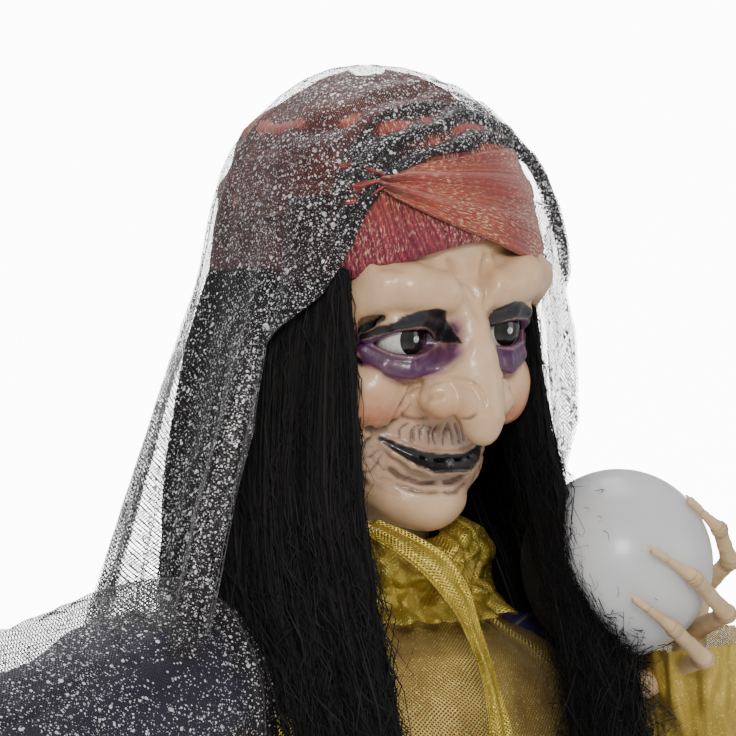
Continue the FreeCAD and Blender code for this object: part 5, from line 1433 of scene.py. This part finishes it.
# waist: a wound strip of the same cloth as the gold net, pleated
A_, V_ = np.meshgrid(np.linspace(-np.pi, np.pi, 420, endpoint=False), np.linspace(0, 1, 46), indexing="xy")
Zw = 1026 - 52 * V_ + 4 * np.sin(A_ * 2 + 1)
Pw = plan(TORSO_T, Zw, A_, 0, 2.4)
Pw = Pw + radial(Pw) * (8 + 4.0 * np.abs(np.sin(V_ * 13 + 1.2 * np.sin(A_ * 3) + 2 * noise3(np.stack([np.cos(A_) * 3, np.sin(A_) * 3, V_ * 2], -1)))) + 5 * np.sin(np.pi * V_) + np.interp(Zw, [970, 1000], [8, 0]))[..., None]
wb = grid_obj("waist_wrap", Pw * MM, gold_m, closed=True, thick=0.0012)
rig.ride(wb, "stand"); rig.slot(wb, "gold_net")

# collar: crumpled metallic net wound round the neck
A_, V_ = np.meshgrid(np.linspace(-np.pi, np.pi, 420, endpoint=False), np.linspace(0, 1, 90), indexing="xy")
top = 1385 + 5 * np.sin(A_ * 3 + 0.7) + 4 * noise3(np.stack([np.cos(A_) * 3, np.sin(A_) * 3, 0 * A_], -1), 1.0, 4) - 22 * np.exp(-(A_ / 0.42) ** 2)
Zc = top + (1326 - top) * V_
rad = np.interp(V_, [0, 0.12, 0.35, 0.6, 0.8, 1.0], [50, 63, 69, 63, 70, 80])
rad = rad + 7 * np.exp(-((A_ + 0.75) / 0.35) ** 2) * (1 - V_) + 6 * np.exp(-((A_ - 0.95) / 0.3) ** 2)
q3 = np.stack([np.cos(A_) * 2.2, np.sin(A_) * 2.2, V_ * 1.2], -1)
rad = rad + 5.5 * np.sin(A_ * 13 + 7 * noise3(q3, 1.0, 7)) * (0.4 + 0.6 * V_) * 0.6 + 7.0 * (np.abs(noise3(q3, 2.2, 9)) - 0.25) + 2.4 * noise3(q3, 6.0, 10)
Pc = np.stack([rad * np.sin(A_), -rad * np.cos(A_) * 1.06 - 2, Zc + 3.0 * noise3(q3, 3.0, 12)], -1)
col_o = grid_obj("gold_collar", Pc * MM, gold_m, closed=True, thick=0.0007)
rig.slot(col_o, "gold_net")
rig.blend(col_o, "stand", "head", start=(0, 0, 1.330), end=(0, 0, 1.395))
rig.replaces(col_o, "collar_ruffle")

# chest drape: sheer gold net gathered at a line below the collar, bulging over the lining
nA, nV = 330, 190
A_, V_ = np.meshgrid(np.radians(np.linspace(-66, 76, nA)), np.linspace(0, 1, nV), indexing="xy")
Zd = 1368 + (1046 - 1368) * V_
g0 = plan(TORSO_T, Zd, A_, 0.0)
puff = np.interp(Zd, [1046, 1100, 1200, 1270, 1305, 1332, 1344, 1356, 1368], [9, 10, 12, 16, 24, 23, 17, 22, 20])
side = np.cos(np.clip((A_ - 0.12) * 1.1, -1.5, 1.5))
fl = noise3(np.stack([A_ * 3, V_ * 2.2, 0 * A_], -1), 1.0, 15)
pleat = np.sin(A_ * 34 + 4 * fl) * np.exp(-((Zd - 1343) / 26) ** 2) * 2.6
soft = 3.2 * np.sin(A_ * 9 + 3 * fl + V_ * 4) * sstep(0.04, 0.2, V_) + 3.5 * fbm(g0, 0.018, 3, 14)
Pd = g0 + radial(g0) * (puff * (0.35 + 0.65 * side) + pleat + soft)[..., None]
Pd[..., 2] += 6 * fl * sstep(0.9, 1.0, V_)
cd = grid_obj("gold_chest_drape", Pd * MM, gold_sheer)
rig.slot(cd, "gold_net")
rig.blend(cd, "stand", "head", start=(0, 0, 1.345), end=(0, 0, 1.42))
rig.replaces(cd, "chest_drape")
cda = np.zeros(len(cd.data.polygons)); cd.data.polygons.foreach_get("area", cda)
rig.sheet(cd, flat=(0.30, 0.35), held="gathered", rests_on=["bodice_lining"], area=float(np.clip(cda.sum() / 1.15, 0.0316, 0.105)))
# narrow lapel of doubled net that runs down from the collar's right end
strip = spline([(-46, -66, 1382), (-26, -92, 1366), (-12, -104, 1346), (-4, -112, 1322), (2, -120, 1294), (4, -128, 1262), (4, -131, 1220), (2, -128, 1170)], 150)
wdir = unit(np.stack([0.9 + 0 * strip[:, 0], -0.1 + 0 * strip[:, 0], 0.35 - 0.3 * np.linspace(0, 1, 150)], -1))
ww = np.linspace(-1, 1, 26)
n2 = unit(np.cross(np.gradient(strip, axis=0), wdir)); n2 = n2 * np.sign((n2 * radial(strip)).sum(1))[:, None]
Q = strip[:, None] + wdir[:, None] * (ww[None, :, None] * (7.5 + 3 * np.sin(np.linspace(0, 9, 150)))[:, None, None]) + n2[:, None] * (2.6 + 1.1 * np.cos(ww * 5.0)[None, :, None] + 1.4 * noise3(np.stack([np.repeat(np.linspace(0, 12, 150)[:, None], 26, 1), np.repeat(ww[None] * 2, 150, 0), np.zeros((150, 26))], -1))[..., None])
ls = grid_obj("gold_lapel", Q * MM, gold_m, thick=0.001)
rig.slot(ls, "gold_net")
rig.blend(ls, "stand", "head", start=(0, 0, 1.330), end=(0, 0, 1.395))


def frames(path, ref=(0, 0, 1.0)):
    T = unit(np.gradient(path, axis=0))
    U = unit(np.cross(T, np.array(ref)))
    W = np.cross(U, T)
    return T, U, W


def sleeve_cloth(name, pts, radii, mat, slotname, nf=11, amp=0.10, drop=0.0, ns=130, na=170, seed=1, ref=(0, 0, 1.0), clear=False, thick=0.0):
    path = spline(pts, ns)
    s = np.linspace(0, 1, ns)
    T, U, W = frames(path, ref)
    R = np.interp(s, np.linspace(0, 1, len(radii)), radii)
    R = np.convolve(np.pad(R, 6, mode="edge"), np.ones(13) / 13, "valid")
    a = np.linspace(0, 2 * np.pi, na, endpoint=False)
    S, Aa = np.meshgrid(s, a, indexing="ij")
    q = np.stack([np.cos(Aa) * 1.6, np.sin(Aa) * 1.6, S * 2.6], -1)
    fl = noise3(q, 1.0, seed)
    gather = np.exp(-(S / 0.05) ** 2) + np.exp(-((1 - S) / 0.05) ** 2) * 0.6
    r = R[:, None] * (1 + amp * (np.sin(Aa * nf + 5 * fl) * 0.6 + np.sin(Aa * 5 + 3 * fl + 4 * S) * 0.5 + 1.1 * noise3(q, 2.6, seed + 3)) + 0.05 * gather * np.sin(Aa * 34))
    low = np.clip(-np.sin(Aa), 0, 1) ** 1.5
    P = path[:, None] + U[:, None] * (r * np.cos(Aa))[..., None] + W[:, None] * (r * np.sin(Aa))[..., None]
    P[..., 2] -= drop * low * np.sin(np.pi * np.clip(S, 0, 1)) ** 0.8
    if clear:
        P = push_out(P, BALL_C, BALL_RR + 3.0)
    o = grid_obj(name, P * MM, mat, closed=True, thick=thick)
    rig.slot(o, slotname)
    return o


SL, SR = np.array([158.0, 0, 1262]), np.array([-158.0, 0, 1262])
EL_ = np.array(J["left_elbow"]["pos_m"]) * 1000 if J else np.array([262, -50, 1086.0])
ER_ = np.array(J["right_elbow"]["pos_m"]) * 1000 if J else np.array([-350, -24, 1206.0])

# right arm: satin sleeve, puffed at the shoulder, net laid over it
uR = unit(ER_ - SR)
s1 = sleeve_cloth("satin_sleeve_upper_right", [(-96, 2, 1268), (-128, 1, 1270), SR + (-6, 0, 3), SR + uR * 70, ER_ - uR * 30, ER_ + uR * 10], [40, 60, 62, 58, 52, 40], purple_m, "dress_cloth", seed=41)
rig.blend(s1, "stand", "right_upper_arm", start=(-0.112, 0, 1.266), end=(-0.170, 0, 1.258))
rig.replaces(s1, "sleeve_upper_right")
fR = unit(W_R - ER_)
s2 = sleeve_cloth("satin_sleeve_lower_right", [ER_ - uR * 34, ER_ + (0, 0, -2), ER_ + fR * 50, ER_ + fR * 110, W_R - fR * 6, W_R + fR * 18], [36, 42, 40, 42, 54, 66], purple_m, "dress_cloth", seed=43, drop=22)
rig.blend(s2, "right_upper_arm", "right_forearm", start=tuple((ER_ - uR * 26) * MM), end=tuple((ER_ + fR * 26) * MM))
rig.replaces(s2, "sleeve_lower_right")


def draped_net(name, pts, radii, hang, mat, seed, ns=120, nw=150, lift=0.0):
    """Net lying over an arm: round over the top, hanging at both sides."""
    path = spline(pts, ns)
    T, U, W = frames(path)
    s = np.linspace(0, 1, ns)
    R = np.interp(s, np.linspace(0, 1, len(radii)), radii)
    Hh = np.interp(s, np.linspace(0, 1, len(hang)), hang)
    w = np.linspace(-1, 1, nw)
    Wd, Sd = np.meshgrid(w, s)
    arc = np.clip(np.abs(Wd) / 0.52, 0, 1) * np.pi * 0.52
    sg = np.sign(Wd)
    P = path[:, None] + U[:, None] * (R[:, None] * np.sin(arc) * sg)[..., None] + np.array([0, 0, 1.0]) * (R[:, None] * np.cos(arc))[..., None]
    below = np.clip((np.abs(Wd) - 0.52) / 0.48, 0, 1)
    P[..., 2] -= below * Hh[:, None]
    P = P + U[:, None] * (sg * below * 10)[..., None]
    fl = noise3(np.stack([Sd * 6, Wd * 1.0, 0 * Sd], -1), 1.0, seed)
    fold = np.sin(Sd * 46 + 6 * fl) * (1.5 + 7 * below) + 2.5 * fbm(P, 0.03, 3, seed)
    dirn = unit(P - path[:, None] + 1e-9)
    P = P + dirn * fold[..., None]
    o = grid_obj(name, P * MM, mat)
    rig.slot(o, "net")
    return o, P


dn1, Pn1 = draped_net("net_over_arm_right", [(-112, 8, 1266), (-150, 4, 1266), SR + uR * 60, SR + uR * 130, ER_ - uR * 6, ER_ + uR * 16], [80, 84, 90, 100, 100, 84], [30, 60, 90, 100, 105, 90], net2_m, 51)
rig.blend(dn1, "stand", "right_upper_arm", start=(-0.112, 0, 1.266), end=(-0.175, 0, 1.258))
ar = np.zeros(len(dn1.data.polygons)); dn1.data.polygons.foreach_get("area", ar)
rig.sheet(dn1, flat=(0.42, 0.40), held="draped", rests_on=["satin_sleeve_upper_right"], area=float(np.clip(ar.sum() / 1.1, 0.0505, 0.168)))
dn2, Pn2 = draped_net("net_over_forearm_right", [ER_ - uR * 30, ER_ + (0, 0, 3), ER_ + fR * 60, W_R - fR * 12], [84, 84, 74, 62], [90, 95, 90, 60], net2_m, 57)
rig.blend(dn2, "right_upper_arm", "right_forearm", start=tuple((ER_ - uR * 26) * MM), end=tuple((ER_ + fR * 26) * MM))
ar = np.zeros(len(dn2.data.polygons)); dn2.data.polygons.foreach_get("area", ar)
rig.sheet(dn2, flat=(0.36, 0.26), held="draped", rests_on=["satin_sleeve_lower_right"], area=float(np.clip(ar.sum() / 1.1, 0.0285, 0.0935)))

# left arm: short satin sleeve, gold net lower sleeve flaring round the palm's heel
uL = unit(EL_ - SL)
s3 = sleeve_cloth("satin_sleeve_upper_left", [(98, 2, 1268), (128, 1, 1270), SL + (4, 2, 0), SL + uL * 60 + (6, 6, 0), SL + uL * 120 + (4, 4, 0), EL_ - uL * 20], [40, 56, 52, 38, 28, 20], purple_m, "dress_cloth", seed=47)
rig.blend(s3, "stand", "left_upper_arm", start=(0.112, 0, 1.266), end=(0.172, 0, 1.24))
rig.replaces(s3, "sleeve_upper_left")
fL = unit(W_L - EL_)
outw = unit(np.array([0.75, 0.25, 0.0]))
s4 = sleeve_cloth("gold_sleeve_lower_left", [EL_ + fL * 22, EL_ + fL * 60, EL_ + fL * 110, W_L - fL * 20 + outw * 3, W_L + fL * 16 + outw * 9, W_L + fL * 44 + outw * 16], [13, 17, 22, 28, 32, 34], gold_sleeve, "gold_net", seed=49, nf=9, amp=0.09, clear=True, ref=(0, 1.0, 0))
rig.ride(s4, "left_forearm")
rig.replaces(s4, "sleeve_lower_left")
# ------------------------------------------------------------------ the CAD parts' own materials
blk = plain("black_powder_coat", (0.035, 0.035, 0.038), 0.45, 0.0, 0.35, 900.0, coat=0.15)
zinc = plain("zinc_plate", (0.60, 0.60, 0.58), 0.32, 1.0, 0.15, 300.0)
rub = plain("foot_rubber_mat", (0.03, 0.03, 0.032), 0.75, 0.0, 0.5, 700.0)
abs_ = plain("black_abs", (0.030, 0.030, 0.033), 0.5, 0.0, 0.6, 1400.0)
nat = plain("natural_plastic", (0.80, 0.78, 0.72), 0.45, 0.0, 0.1, 300.0)
green = plain("board_green", (0.03, 0.14, 0.06), 0.35, 0.0, 0.3, 500.0)
cell_m = plain("cell_sleeve", (0.08, 0.28, 0.24), 0.3, 0.2, 0.0)
skinp = plain("neck_vinyl", (0.66, 0.52, 0.33), 0.42, 0.0, 0.25, 500.0)
clear = plain("lamp_clear", (0.85, 0.88, 0.92), 0.08, 0.0)
by = {"stand_hub": blk, "stand_legs": blk, "stand_feet": rub, "hub_screws": zinc, "pole_lower": blk, "pole_upper": blk, "pole_coupler": zinc, "skirt_hoop": blk,
      "torso_front_shell": abs_, "torso_back_shell": abs_, "torso_screws": zinc, "shoulder_bar": blk, "shoulder_lugs": zinc, "shoulder_bolts": zinc,
      "upper_arm_left": blk, "upper_arm_right": blk, "forearm_left": blk, "forearm_right": blk, "elbow_bolt_left": zinc, "elbow_bolt_right": zinc,
      "ball_light_board": green, "neck_gear": nat, "drive_pinion": nat, "gearbox_tub": abs_, "gearbox_lid": abs_, "neck_bushes": nat, "head_motor": zinc,
      "head_back_shell": abs_, "head_screws": zinc, "eye_lights": clear, "sound_sensor": abs_, "neck_shroud": skinp, "head_crosspiece": blk, "neck_shaft": zinc,
      "control_box": abs_, "battery_door": abs_, "batteries": cell_m, "circuit_board": green, "speaker": zinc, "mode_switch": nat, "power_jack": abs_}
for n_name, mt in by.items():
    if n_name in NODES:
        me = NODES[n_name].data
        me.materials.clear()
        me.materials.append(mt)

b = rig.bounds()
lst = lambda v: [[float(c) for c in p] for p in v] if hasattr(v[0], "__len__") else [float(c) for c in v]
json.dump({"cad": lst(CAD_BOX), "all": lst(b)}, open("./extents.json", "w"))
